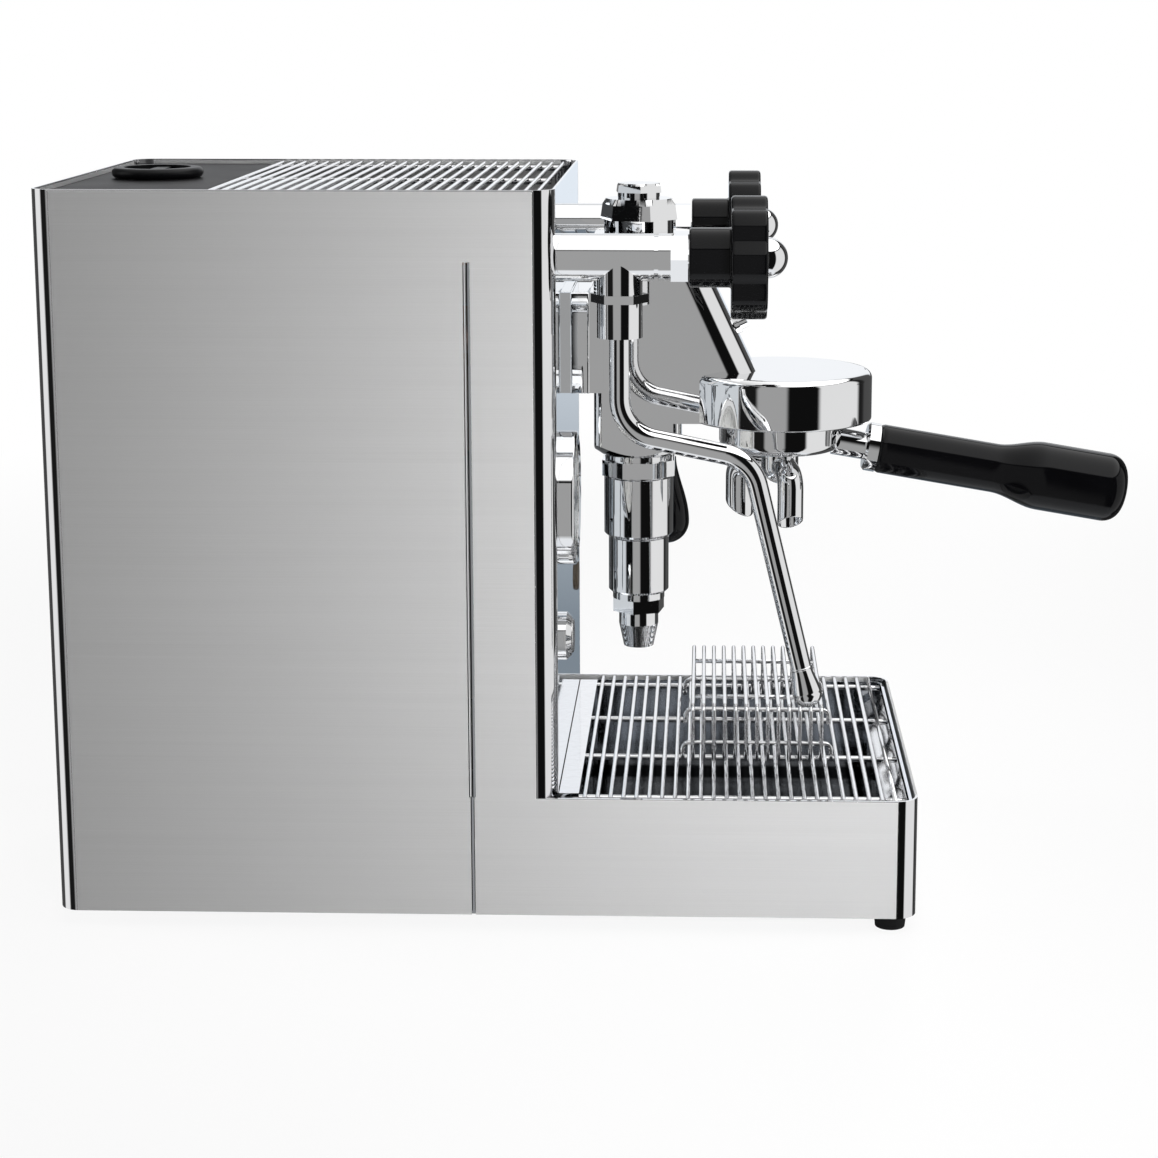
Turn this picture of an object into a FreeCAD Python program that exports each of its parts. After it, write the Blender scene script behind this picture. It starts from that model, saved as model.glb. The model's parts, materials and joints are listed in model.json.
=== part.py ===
import FreeCAD, Part
import Sketcher
import math
import os

doc = FreeCAD.newDocument("espresso_machine")
sheet = doc.addObject("Spreadsheet::Sheet", "dims")
V = FreeCAD.Vector

# Millimetres; x to the right seen from the front, y to the back, z up.
sizes = {
    # housing
    "body_width": 220,
    "rear_face": 263,
    "panel_face": 21,
    "tray_face": 151,
    "top_height": 355,
    "rim_height": 66,
    "base_height": 7.5,
    "sheet": 1.2,
    "corner": 10,
    "lip": 2,
    "pan_thick": 1.5,
    "slit_front": 59.8,
    "slit_wide": 3.3,
    "slit_narrow": 1.9,
    "slit_drop": 33,
    "foot_top": 8,
    "foot_bottom": 7.2,
    "foot_inset": 12,
    "foot_rear": 225,
    "foot_rear_inset": 40,
    # top
    "deck_sink": 12,
    "rack_wire": 1.1,
    "rack_pitch": 6.1,
    "rack_start": 29,
    "rack_side": 2.8,
    "rack_rod": 1.5,
    "rack_rod_side": 10.8,
    "rack_sink": 1.8,
    "weld": 0.4,
    "lid_side_gap": 1.3,
    "lid_front": 187,
    "lid_rear_gap": 1.3,
    "lid_thick": 8.3,
    "lid_round": 8,
    "lid_ledge": 3,
    "pull_radius": 22.7,
    "pull_edge": 2.6,
    "pull_foot": 0.3,
    "pull_well": 16.5,
    "pull_sink": 3,
    "pull_bar": 7,
    "loose": 0.5,
    # tank
    "tank_side": 18.8,
    "tank_front": 192,
    "tank_rear": 252,
    "tank_foot": 52,
    "tank_wall": 2.5,
    "tank_round": 6,
    "dock_half": 50,
    "dock_front": 202,
    "dock_rear": 242,
    "dock_leg": 6,
    "dock_top": 12,
    "nipple": 5,
    "nipple_tall": 8,
    "nipple_gap": 0.4,
    # drip tray
    "tray_gap": 1.3,
    "tray_wall": 1.5,
    "tray_round": 8,
    "grid_wire": 1.1,
    "grid_pitch": 6.18,
    "grid_start": 8.2,
    "grid_rod": 1.5,
    "grid_rod_x": 33,
    "grid_end_side": 10.8,
    "strip_front": 11.2,
    "strip_side": 8.8,
    "strip_thick": 1.7,
    "strip_gap": 0.3,
    "riser_wire": 1.0,
    "riser_pitch": 5.35,
    "riser_start": -43,
    "riser_half": 60,
    "riser_shift": 12,
    "riser_overhang": 4,
    "riser_top": 94.5,
    "riser_bend": 7,
    "riser_rod": 1.3,
    "riser_rod_x": 48,
    # brew group
    "axis_y": -14.7,
    "group_half": 21,
    "group_back": 7.2,
    "group_front": -36.5,
    "group_low": 214,
    "group_high": 326,
    "slope_top_y": -41,
    "slope_low_y": -75.5,
    "slope_round": 13,
    "edge_round": 4,
    "base_flat": 19,
    "base_far": 31.5,
    "base_rise": 8.5,
    "flange_half": 25,
    "flange_low": 248,
    "flange_high": 298,
    "bell_y": -86.5,
    "bell_radius": 46,
    "bell_low": 232,
    "bell_high": 257,
    "bell_round": 4,
    "bell_edge": 1.2,
    "bell_bore": 36.5,
    "bell_mouth": 33,
    "bell_lip": 4.2,
    "bell_roof": 250,
    "ear_slot": 14,
    "unlock": 50,
    "lever_y": -28,
    "lever_z": 240,
    "boss_radius": 10,
    "boss_end": 34,
    "shaft_radius": 6,
    "run_gap": 0.06,
    "lever_x": 62,
    "lever_arm": 4,
    "lever_hub": 8,
    "knob_top": 200,
    "knob_low": 153,
    "knob_fat": 12,
    "neck_radius": 17.4,
    "nut_low": 332.5,
    "nut_mid": 340,
    "nut_high": 343,
    "nut_corner": 19.3,
    "nut_crown": 16.5,
    "cap_neck": 10.5,
    "cap_disc": 11.25,
    "cap_step": 346,
    "cap_high": 350.5,
    "collar_radius": 17.25,
    "collar_low": 211,
    "octagon_low": 203,
    "octagon_corner": 19.85,
    "upper_radius": 17.6,
    "upper_low": 171.6,
    "lower_radius": 15.35,
    "lower_low": 142,
    "throat_radius": 13.25,
    "throat_low": 138.5,
    "drain_corner": 13.75,
    "drain_turn": 10,
    "drain_hex_low": 131.7,
    "drain_radius": 10.1,
    "drain_taper": 124.8,
    "drain_tip": 7.65,
    "drain_low": 113,
    "drain_hole": 4,
    "bevel": 1.2,
    "screw_disc": 4.5,
    "screw_head": 3.2,
    "screw_along": 47,
    # portafilter
    "bowl_low": 216.5,
    "bowl_radius": 31,
    "bowl_top_radius": 32,
    "bowl_high": 243,
    "bowl_inside": 29.6,
    "bowl_floor": 219.5,
    "ear_radius": 35.8,
    "ear_half": 12,
    "ear_high": 241,
    "basket_radius": 29.2,
    "basket_wall": 0.8,
    "basket_low": 221,
    "basket_rim": 31.6,
    "gasket_in": 28.6,
    "gasket_out": 35.5,
    "gasket_low": 244,
    "screen_thick": 2,
    "droop": 9.6,
    "droop_z": 224.9,
    "arm_start": 27,
    "arm_radius": 7,
    "ferrule_start": 43.5,
    "ferrule_radius": 12.3,
    "handle_start": 50,
    "handle_slim": 12.4,
    "handle_neck": 116,
    "handle_fat_start": 132,
    "handle_fat": 17.3,
    "handle_end": 177.6,
    "handle_round": 9,
    "spout_top": 9.5,
    "spout_tube": 7,
    "spout_bore": 4.9,
    "spout_near_x": 19,
    "spout_near_y": 6,
    "spout_far_x": 19,
    "spout_far_y": 20,
    "spout_bend": 9,
    "spout_bar_z": 203,
    "spout_low": 177,
    # taps
    "tap_side": 25,
    "tap_z": 322,
    "tap_radius": 11.15,
    "tap_end": 32.2,
    "tap_hex_end": 40.2,
    "tap_hex": 12.4,
    "groove_at": 24.4,
    "groove_wide": 2,
    "groove_deep": 0.8,
    "branch_y": -8.2,
    "branch_radius": 10.75,
    "branch_low": 284.4,
    "nut_thin_low": 301,
    "nut_thin_high": 305,
    "nut_thin_corner": 13.6,
    "stem_radius": 4,
    "stem_gap": 0.3,
    "stem_start": 14,
    "stem_bore_end": 12,
    "hub_start": 40.6,
    "hub_radius": 14,
    "wheel_start": 60.2,
    "wheel_end": 77.2,
    "wheel_radius": 29,
    "wheel_round": 1.5,
    "scallop_radius": 9,
    "scallop_at": 35.6,
    "dome_radius": 9.6,
    "wand_radius": 5,
    "wand_bore": 3.9,
    "wand_top": 303,
    "wand_socket": 304,
    "wand_bend": 20,
    "wand_knee_z": 238.9,
    "wand_elbow_y": -70.5,
    "wand_elbow_z": 226.1,
    "wand_end_y": -99.8,
    "wand_end_z": 105.6,
    "tip_length": 20,
    "tip_radius": 7,
    "tip_taper": 13,
    "spray_top": 140,
    "spray_length": 22,
    "spray_radius": 6.3,
    # front panel fittings
    "gauge_side": 46,
    "gauge_z": 203,
    "bezel_radius": 32.5,
    "bezel_inside": 28,
    "bezel_stand": 8,
    "bezel_lip": 1.6,
    "case_radius": 26,
    "case_depth": 25,
    "dial_thick": 1,
    "dial_gap": 0.05,
    "glass_thick": 1.5,
    "needle_long": 21,
    "needle_tail": 6,
    "needle_wide": 1.2,
    "needle_thick": 0.8,
    "needle_hub": 3,
    "needle_gap": 1,
    "needle_rest": 45,
    "button_z": 134,
    "ring_radius": 11.75,
    "ring_stand": 5,
    "ring_bore": 8.7,
    "button_radius": 8.4,
    "button_out": 6,
    "button_length": 13,
    "lamp_radius": 6,
    "lamp_ring": 8,
    "lamp_out": 1.5,
    # inside
    "boiler_y": 120,
    "boiler_z": 235,
    "boiler_radius": 52,
    "boiler_side": 13.8,
    "boiler_bevel": 5,
    "boiler_end": 42,
    "boiler_wall": 2,
    "stand_x": 80,
    "stand_half": 2,
    "stand_front": 92,
    "stand_rear": 148,
    "stand_high": 205,
    "heater_radius": 25,
    "heater_thick": 8,
    "pin_radius": 2,
    "pin_long": 4,
    "pin_gap": 12,
    "pump_x": -10,
    "pump_front": 60,
    "pump_rear": 150,
    "pump_radius": 18,
    "pump_rise": 20,
    "pump_foot": 6,
    "pump_foot_inset": 10,
    "box_left": 22,
    "box_right": 72,
    "box_front": 60,
    "box_rear": 170,
    "box_high": 62,
    "pipe_radius": 5,
    "pipe_small": 4,
    "brew_x": 12,
    "brew_high": 285,
    "brew_low": 258,
    "pipe_bend": 15,
    "hole_gap": 1,
    "inlet_wide": 24,
    "inlet_side": 22,
    "inlet_low": 20,
    "inlet_high": 48,
    "inlet_deep": 30,
    "inlet_rim": 3,
    "inlet_sink": 18,
    "blade_half": 1.5,
    "blade_long": 13,
    "over": 1,
}


class Size:
    # A length that carries its number and the sheet expression that gives it.
    def __init__(self, value, text):
        self.value = float(value)
        self.text = text

    def __add__(self, other):
        other = size(other)
        return Size(self.value + other.value, "(%s + %s)" % (self.text, other.text))

    def __radd__(self, other):
        return size(other) + self

    def __sub__(self, other):
        other = size(other)
        return Size(self.value - other.value, "(%s - %s)" % (self.text, other.text))

    def __rsub__(self, other):
        return size(other) - self

    def __mul__(self, other):
        other = size(other)
        return Size(self.value * other.value, "(%s * %s)" % (self.text, other.text))

    def __rmul__(self, other):
        return size(other) * self

    def __truediv__(self, other):
        other = size(other)
        return Size(self.value / other.value, "(%s / %s)" % (self.text, other.text))

    def __neg__(self):
        return Size(-self.value, "(0 - %s)" % self.text)


def size(value):
    if isinstance(value, Size):
        return value
    return Size(value, "(%r)" % float(value))


class Named:
    pass


d = Named()
for row, (alias, number) in enumerate(sizes.items(), 1):
    sheet.set("A%d" % row, alias)
    sheet.set("B%d" % row, str(number))
    sheet.setAlias("B%d" % row, alias)
    setattr(d, alias, Size(number, "dims." + alias))
doc.recompute()

turns = {
    "z": ((1, 0, 0), 0),
    "down": ((1, 0, 0), 180),
    "front": ((1, 0, 0), 90),
    "back": ((1, 0, 0), -90),
    "right": ((0, 1, 0), 90),
    "side": ((1, 1, 1), 120),
}
made = []
nodes = {}


def bind(thing, prop, value):
    thing.setExpression(prop, size(value).text)


def put(thing, at, turn="z"):
    axis, angle = turns[turn] if isinstance(turn, str) else turn
    spot = [size(value) for value in at]
    rotation = FreeCAD.Rotation(V(*axis), angle)
    thing.Placement = FreeCAD.Placement(V(*[s.value for s in spot]), rotation)
    for letter, value in zip("xyz", spot):
        bind(thing, "Placement.Base." + letter, value)
    return thing


def new(kind):
    thing = doc.addObject(kind, "piece")
    made.append(thing)
    return thing


def box(x0, x1, y0, y1, z0, z1):
    thing = new("Part::Box")
    for prop, low, high in (("Length", x0, x1), ("Width", y0, y1), ("Height", z0, z1)):
        bind(thing, prop, size(high) - low)
    return put(thing, (x0, y0, z0))


def rod(radius, length, at, turn="z"):
    thing = new("Part::Cylinder")
    bind(thing, "Radius", radius)
    bind(thing, "Height", length)
    return put(thing, at, turn)


def cone(low, high, length, at, turn="z"):
    thing = new("Part::Cone")
    bind(thing, "Radius1", low)
    bind(thing, "Radius2", high)
    bind(thing, "Height", length)
    return put(thing, at, turn)


def prism(sides, corner, length, at, turn="z"):
    thing = new("Part::Prism")
    thing.Polygon = sides
    bind(thing, "Circumradius", corner)
    bind(thing, "Height", length)
    return put(thing, at, turn)


def ball(radius, at):
    thing = new("Part::Sphere")
    bind(thing, "Radius", radius)
    return put(thing, at)


def fuse(*things):
    thing = new("Part::MultiFuse")
    thing.Shapes = list(things)
    thing.Refine = True
    return thing


def group(*things):
    thing = new("Part::Compound")
    thing.Links = list(things)
    return thing


def cut(base, *tools):
    for tool in tools:
        thing = new("Part::Cut")
        thing.Base = base
        thing.Tool = tool
        base = thing
    return base


def common(base, tool):
    thing = new("Part::Common")
    thing.Base = base
    thing.Tool = tool
    return thing


def bow(start, end, radius, side):
    # the shorter arc between two points, its centre to the left for side 1
    middle = (start + end) * 0.5
    along = end - start
    half = along.Length / 2
    left = V(-along.y, along.x, 0).normalize()
    centre = middle + left * (side * math.sqrt(max(radius ** 2 - half ** 2, 0)))
    if (middle - centre).Length < radius * 0.001:
        crown = centre - left * (side * radius)
    else:
        crown = centre + (middle - centre).normalize() * radius
    return Part.Arc(start, crown, end)


def draw(sketch, corners):
    # closed outline; a corner is (x, y) or, after an arc, (x, y, radius, side)
    first = sketch.GeometryCount
    count = len(corners)
    spots = [V(size(c[0]).value, size(c[1]).value, 0) for c in corners]
    lines = []
    for i in range(count):
        after = corners[(i + 1) % count]
        if len(after) == 2:
            lines.append(Part.LineSegment(spots[i], spots[(i + 1) % count]))
        else:
            lines.append(bow(spots[i], spots[(i + 1) % count], size(after[2]).value, after[3]))
    sketch.addGeometry(lines, False)
    starts = []
    for i in range(count):
        near = (sketch.getPoint(first + i, 1) - spots[i]).Length
        far = (sketch.getPoint(first + i, 2) - spots[i]).Length
        starts.append(1 if near <= far else 2)
    rules = []
    bound = []
    base = sketch.ConstraintCount
    for i in range(count):
        j = (i + 1) % count
        rules.append(Sketcher.Constraint("Coincident", first + i, 3 - starts[i], first + j, starts[j]))
    for i in range(count):
        for kind, value, axis in (("DistanceX", corners[i][0], -2), ("DistanceY", corners[i][1], -1)):
            value = size(value)
            if value.value == 0:
                rules.append(Sketcher.Constraint("PointOnObject", first + i, starts[i], axis))
            else:
                bound.append((base + len(rules), value.text))
                rules.append(Sketcher.Constraint(kind, -1, 1, first + i, starts[i], value.value))
        after = corners[(i + 1) % count]
        if len(after) == 4:
            bound.append((base + len(rules), size(after[2]).text))
            rules.append(Sketcher.Constraint("Radius", first + i, size(after[2]).value))
    sketch.addConstraint(rules)
    for index, text in bound:
        sketch.setExpression("Constraints[%d]" % index, text)


def sketched(role, *loops):
    body = new("PartDesign::Body")
    sketch = body.newObject("Sketcher::SketchObject", "outline")
    plane = [part for part in body.Origin.OriginFeatures if part.Role == role][0]
    sketch.AttachmentSupport = [(plane, "")]
    sketch.MapMode = "FlatFace"
    for corners in loops:
        draw(sketch, corners)
    made.append(sketch)
    return body, sketch


def turned(corners, at=(0, 0, 0), turn="z"):
    # corners are (radius, height) pairs turned about the local z axis
    body, sketch = sketched("XZ_Plane", corners)
    spin = body.newObject("PartDesign::Revolution", "spin")
    spin.Profile = sketch
    spin.ReferenceAxis = (sketch, ["V_Axis"])
    spin.Angle = 360
    made.append(spin)
    return put(body, at, turn)


def padded(loops, length, at=(0, 0, 0), turn="z"):
    body, sketch = sketched("XY_Plane", *loops)
    pad = body.newObject("PartDesign::Pad", "pad")
    pad.Profile = sketch
    bind(pad, "Length", length)
    made.append(pad)
    return put(body, at, turn)


def rounded(body, radius, picks):
    # rounds the edges of a body that the picking rule accepts
    doc.recompute()
    tip = body.Tip
    names = []
    for number, edge in enumerate(tip.Shape.Edges, 1):
        if picks([vertex.Point for vertex in edge.Vertexes]):
            names.append("Edge%d" % number)
    fillet = body.newObject("PartDesign::Fillet", "round")
    fillet.Base = (tip, names)
    bind(fillet, "Radius", radius)
    body.Tip = fillet
    made.append(fillet)
    return body


def slab(x0, x1, y0, y1, r):
    return [
        (x0 + r, y0, r, 1),
        (x1 - r, y0),
        (x1, y0 + r, r, 1),
        (x1, y1 - r),
        (x1 - r, y1, r, 1),
        (x0 + r, y1),
        (x0, y1 - r, r, 1),
        (x0, y0 + r),
    ]


def plain(x0, x1, y0, y1):
    return [(x0, y0), (x1, y0), (x1, y1), (x0, y1)]


def bent(points, radius):
    # a wire of straight runs with rounded bends
    spots = [V(*point) for point in points]
    edges = []
    here = spots[0]
    for before, knee, after in zip(spots, spots[1:], spots[2:]):
        arrive = (knee - before).normalize()
        leave = (after - knee).normalize()
        half = arrive.getAngle(leave) / 2
        run = radius * math.tan(half)
        start = knee - arrive * run
        end = knee + leave * run
        inward = (leave - arrive).normalize()
        crown = knee + inward * (radius / math.cos(half) - radius)
        edges.append(Part.LineSegment(here, start).toShape())
        edges.append(Part.Arc(start, crown, end).toShape())
        here = end
    edges.append(Part.LineSegment(here, spots[-1]).toShape())
    return Part.Wire(edges)


def pipe(points, bend, outside, inside=None):
    # a bent tube has no parametric primitive, so its shape is set from the sheet's sizes
    path = bent([[size(v).value for v in point] for point in points], size(bend).value)
    start = V(*[size(v).value for v in points[0]])
    ahead = V(*[size(v).value for v in points[1]]) - start
    shapes = []
    for radius in (outside, inside):
        if radius is not None:
            ring = Part.Wire([Part.Circle(start, ahead, size(radius).value).toShape()])
            shapes.append(path.makePipeShell([ring], True, True))
    shape = shapes[0] if inside is None else shapes[0].cut(shapes[1])
    thing = new("Part::Feature")
    thing.Shape = shape
    return thing


def keep(name, thing):
    thing.Label = name
    nodes[name] = thing


half = d.body_width / 2
inner = half - d.sheet
back_in = d.rear_face - d.sheet
panel_in = d.panel_face + d.sheet
inner_corner = d.corner - d.sheet
seam = half - d.corner - d.lip
front = -d.tray_face
pan_top = d.base_height + d.pan_thick
deck_height = d.top_height - d.deck_sink
rack_level = d.top_height - d.rack_sink
slit_top = d.top_height - d.slit_drop
lid_half = inner - d.lid_side_gap
lid_rear = back_in - d.lid_rear_gap
tank_half = inner - d.tank_side
strip_half = inner - d.strip_side
rack_reach = inner - d.rack_side
rack_rod_x = inner - d.rack_rod_side
grid_end_x = inner - d.grid_end_side
inlet_right = half - d.inlet_side
inlet_left = inlet_right - d.inlet_wide
gauge_x = half - d.gauge_side
tap_x = half - d.tap_side
boiler_half = inner - d.boiler_side
boiler_shoulder = boiler_half - d.boiler_bevel
deck_top = deck_height + d.sheet

# housing
pan_outline = slab(-inner, inner, front + d.sheet, back_in, inner_corner)
keep("base_pan", padded([pan_outline], d.pan_thick, (0, 0, d.base_height)))


def side_sheet(side, face, low, high):
    # a side wall bent round both its vertical corners, seen in plan
    c = d.corner
    loop = [
        (side * seam, d.rear_face),
        (side * (half - c), d.rear_face),
        (side * half, d.rear_face - c, c, -side),
        (side * half, face + c),
        (side * (half - c), face, c, -side),
        (side * seam, face),
        (side * seam, face + d.sheet),
        (side * (half - c), face + d.sheet),
        (side * inner, face + c, inner_corner, side),
        (side * inner, d.rear_face - c),
        (side * (half - c), back_in, inner_corner, side),
        (side * seam, back_in),
    ]
    return padded([loop], high - low, (0, 0, low))


for name, side in (("left_side_panel", -1), ("right_side_panel", 1)):
    low_sheet = side_sheet(side, front, d.base_height, d.rim_height)
    high_sheet = side_sheet(side, d.panel_face, d.rim_height, d.top_height)
    x0 = inner - d.over if side > 0 else -(half + d.over)
    x1 = x0 + d.sheet + d.over * 2
    slit_middle = d.slit_front + d.slit_wide / 2
    tall_slit = box(x0, x1, d.slit_front, d.slit_front + d.slit_wide, d.rim_height, slit_top)
    low_slit = box(
        x0, x1, slit_middle - d.slit_narrow / 2, slit_middle + d.slit_narrow / 2,
        d.base_height - d.over, d.rim_height + d.over,
    )
    keep(name, cut(fuse(low_sheet, high_sheet), tall_slit, low_slit))

keep("base_front_plate", box(-seam, seam, front, front + d.sheet, d.base_height, d.rim_height))

inlet_hole = box(
    inlet_left, inlet_right, back_in - d.over, d.rear_face + d.over, d.inlet_low, d.inlet_high,
)
back_sheet = box(-seam, seam, back_in, d.rear_face, d.base_height, d.top_height)
keep("back_panel", cut(back_sheet, inlet_hole))

holes = []
hole_start = d.panel_face - d.over
hole_long = d.sheet + d.over * 2
for side in (-1, 1):
    holes.append((d.pipe_small + d.hole_gap, side * tap_x, d.tap_z))
holes.append((d.case_radius + d.dial_gap, -gauge_x, d.gauge_z))
holes.append((d.pipe_radius + d.hole_gap, -d.brew_x, d.brew_high))
holes.append((d.pipe_radius + d.hole_gap, d.brew_x, d.brew_low))
holes.append((d.button_radius + d.stem_gap, -gauge_x, d.button_z))
holes.append((d.lamp_radius + d.dial_gap, gauge_x, d.button_z))
drills = [rod(r, hole_long, (x, hole_start, z), "back") for r, x, z in holes]
panel_sheet = box(-seam, seam, d.panel_face, panel_in, pan_top, d.top_height)
keep("front_panel", cut(panel_sheet, group(*drills)))

mouth = [lid_half - d.lid_ledge * 2, d.lid_front + d.lid_ledge, lid_rear - d.lid_ledge]
deck_outline = slab(-inner, inner, panel_in, back_in, inner_corner)
deck_mouth = plain(-mouth[0], mouth[0], mouth[1], mouth[2])
keep("top_tray", padded([deck_outline, deck_mouth], d.sheet, (0, 0, deck_height)))

feet = []
for side in (-1, 1):
    for inset, y in ((d.foot_inset, front + d.foot_inset), (d.foot_rear_inset, d.foot_rear)):
        feet.append(cone(d.foot_bottom, d.foot_top, d.base_height, (side * (half - inset), y, 0)))
keep("feet", group(*feet))

# cup rack on the top
rack_wires = 26
pieces = []
for i in range(rack_wires):
    y = d.rack_start + d.rack_pitch * i
    pieces.append(rod(d.rack_wire, rack_reach * 2, (-rack_reach, y, rack_level), "right"))
rack_end = d.rack_start + d.rack_pitch * (rack_wires - 1)
rack_rod_z = rack_level - d.rack_wire - d.rack_rod + d.weld
for x in (-rack_rod_x, size(0), rack_rod_x):
    pieces.append(rod(d.rack_rod, rack_end - d.rack_start, (x, d.rack_start, rack_rod_z), "back"))
for x in (-rack_rod_x, rack_rod_x):
    for y in (d.rack_start + d.rack_pitch / 2, rack_end - d.rack_pitch / 2):
        pieces.append(rod(d.rack_rod, rack_rod_z - deck_top, (x, y, deck_top)))
keep("cup_grid", fuse(*pieces))

# water tank with its lid
lid_top = deck_top + d.lid_thick
lid_middle = (d.lid_front + lid_rear) / 2 + d.lid_ledge
lid_outline = slab(-lid_half, lid_half, d.lid_front, lid_rear, d.lid_round)
lid_plate = padded([lid_outline], d.lid_thick, (0, 0, deck_top))
pull_low = lid_top + d.pull_foot
pull_top = pull_low + d.pull_edge * 2
pull = turned(
    [
        (0, lid_top - d.over),
        (d.pull_radius - d.pull_edge, lid_top - d.over),
        (d.pull_radius - d.pull_edge, pull_low),
        (d.pull_radius, pull_low + d.pull_edge, d.pull_edge, 1),
        (d.pull_radius - d.pull_edge, pull_top, d.pull_edge, 1),
        (0, pull_top),
    ],
    (0, lid_middle, 0),
)
pull_well = rod(d.pull_well, d.pull_sink + d.over, (0, lid_middle, pull_top - d.pull_sink))
pull_bar = box(
    -d.pull_well, d.pull_well, lid_middle - d.pull_bar / 2, lid_middle + d.pull_bar / 2,
    pull_top - d.pull_sink - d.over, pull_top - d.over,
)
lid_plug = box(
    -(mouth[0] - d.loose), mouth[0] - d.loose, mouth[1] + d.loose, mouth[2] - d.loose,
    deck_height - d.over, deck_top,
)
keep("tank_lid", fuse(lid_plate, cut(pull, pull_well), pull_bar, lid_plug))

tank_high = deck_height - d.over - d.loose
tank_outline = slab(-tank_half, tank_half, d.tank_front, d.tank_rear, d.tank_round)
w = d.tank_wall
tank_room = slab(-tank_half + w, tank_half - w, d.tank_front + w, d.tank_rear - w, d.tank_round - w)
tank_block = padded([tank_outline], tank_high - d.tank_foot, (0, 0, d.tank_foot))
tank_hollow = padded([tank_room], tank_high - d.tank_foot, (0, 0, d.tank_foot + w))
tank_middle = (d.tank_front + d.tank_rear) / 2
port = rod(d.nipple + d.nipple_gap, w + d.over * 2, (0, tank_middle, d.tank_foot - d.over))
keep("water_tank", cut(tank_block, tank_hollow, port))

dock_block = box(-d.dock_half, d.dock_half, d.dock_front, d.dock_rear, pan_top, d.tank_foot)
dock_tunnel = box(
    -d.dock_half - d.over, d.dock_half + d.over, d.dock_front + d.dock_leg, d.dock_rear - d.dock_leg,
    pan_top - d.over, d.tank_foot - d.dock_top,
)
dock_nipple = rod(d.nipple, d.nipple_tall + d.over, (0, tank_middle, d.tank_foot - d.over))
keep("tank_dock", fuse(cut(dock_block, dock_tunnel), dock_nipple))

# drip tray, its grid and the cup riser
tray_top = d.rim_height - d.grid_wire * 2
tray_x = inner - d.tray_gap
tray_y0 = front + d.sheet + d.tray_gap
tray_y1 = d.panel_face - d.tray_gap
w = d.tray_wall
tray_outline = slab(-tray_x, tray_x, tray_y0, tray_y1, d.tray_round)
tray_room = slab(-tray_x + w, tray_x - w, tray_y0 + w, tray_y1 - w, d.tray_round - w)
tray_block = padded([tray_outline], tray_top - pan_top, (0, 0, pan_top))
tray_hollow = padded([tray_room], tray_top - pan_top, (0, 0, pan_top + w))
keep("drip_tray", cut(tray_block, tray_hollow))

grid_wires = 24
grid_z = tray_top + d.grid_wire
grid_rod_z = grid_z - d.grid_wire - d.grid_rod + d.weld
grid_end = d.grid_start - d.grid_pitch * (grid_wires - 1)
grid_reach = tray_x - d.loose
pieces = []
for i in range(grid_wires):
    y = d.grid_start - d.grid_pitch * i
    pieces.append(rod(d.grid_wire, grid_reach * 2, (-grid_reach, y, grid_z), "right"))
rod_start = d.strip_front + d.grid_rod * 2
for x in (-grid_end_x, -d.grid_rod_x, d.grid_rod_x, grid_end_x):
    at = (x, rod_start, grid_rod_z)
    pieces.append(rod(d.grid_rod, rod_start - grid_end + d.grid_wire, at, "front"))
strip_rear = d.panel_face - d.strip_gap
pieces.append(box(-strip_half, strip_half, d.strip_front, strip_rear, tray_top, tray_top + d.strip_thick))
keep("drip_grid", fuse(*pieces))

riser_wires = 13
riser_z = d.riser_top - d.riser_wire
riser_foot = d.rim_height
riser_end = d.riser_start - d.riser_pitch * (riser_wires - 1)
pieces = []
for i in range(riser_wires):
    y = d.riser_start - d.riser_pitch * i
    staple = [
        (d.riser_shift - d.riser_half, y, riser_foot),
        (d.riser_shift - d.riser_half, y, riser_z),
        (d.riser_shift + d.riser_half, y, riser_z),
        (d.riser_shift + d.riser_half, y, riser_foot),
    ]
    pieces.append(pipe(staple, d.riser_bend, d.riser_wire))
riser_rear = d.riser_start + d.riser_overhang
riser_long = d.riser_start - riser_end + d.riser_overhang * 2
riser_rod_z = riser_z - d.riser_wire - d.riser_rod + d.weld
for side in (-1, 1):
    x = d.riser_shift + d.riser_rod_x * side
    pieces.append(rod(d.riser_rod, riser_long, (x, riser_rear, riser_rod_z), "front"))
    x = d.riser_shift + (d.riser_half + d.riser_wire + d.riser_rod - d.weld) * side
    pieces.append(rod(d.riser_rod, riser_long, (x, riser_rear, riser_foot + d.riser_rod), "front"))
keep("cup_riser", fuse(*pieces))

# brew group
profile = [
    (d.group_back, d.group_low),
    (d.group_back, d.group_high),
    (d.slope_top_y, d.group_high),
    (d.slope_low_y, d.bell_high - d.bell_round),
    (d.slope_low_y, d.bell_low),
    (d.group_front, d.bell_low),
    (d.group_front, d.group_low),
]
column = padded([profile], d.group_half * 2, (-d.group_half, 0, 0), "side")


def on_slope(points):
    # both ends of the edge lie on the sloping front, at one side of the casting
    near = 0.01
    if len(points) != 2 or abs(points[0].x - points[1].x) < near:
        return False
    ends = [(d.slope_top_y.value, d.group_high.value)]
    ends.append((d.slope_low_y.value, d.bell_high.value - d.bell_round.value))
    same_side = abs(points[0].z - points[1].z) < near
    return same_side and all(
        any(abs(p.x - y) < near and abs(p.y - z) < near for y, z in ends) for p in points
    )


def on_column(points):
    # upright edges of the column
    near = 0.01
    if len(points) != 2 or abs(points[0].z - points[1].z) > near:
        return False
    upright = abs(points[0].x - points[1].x) < near
    column_y = (d.group_back.value, d.group_front.value)
    return upright and any(abs(points[0].x - y) < near for y in column_y)


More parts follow.
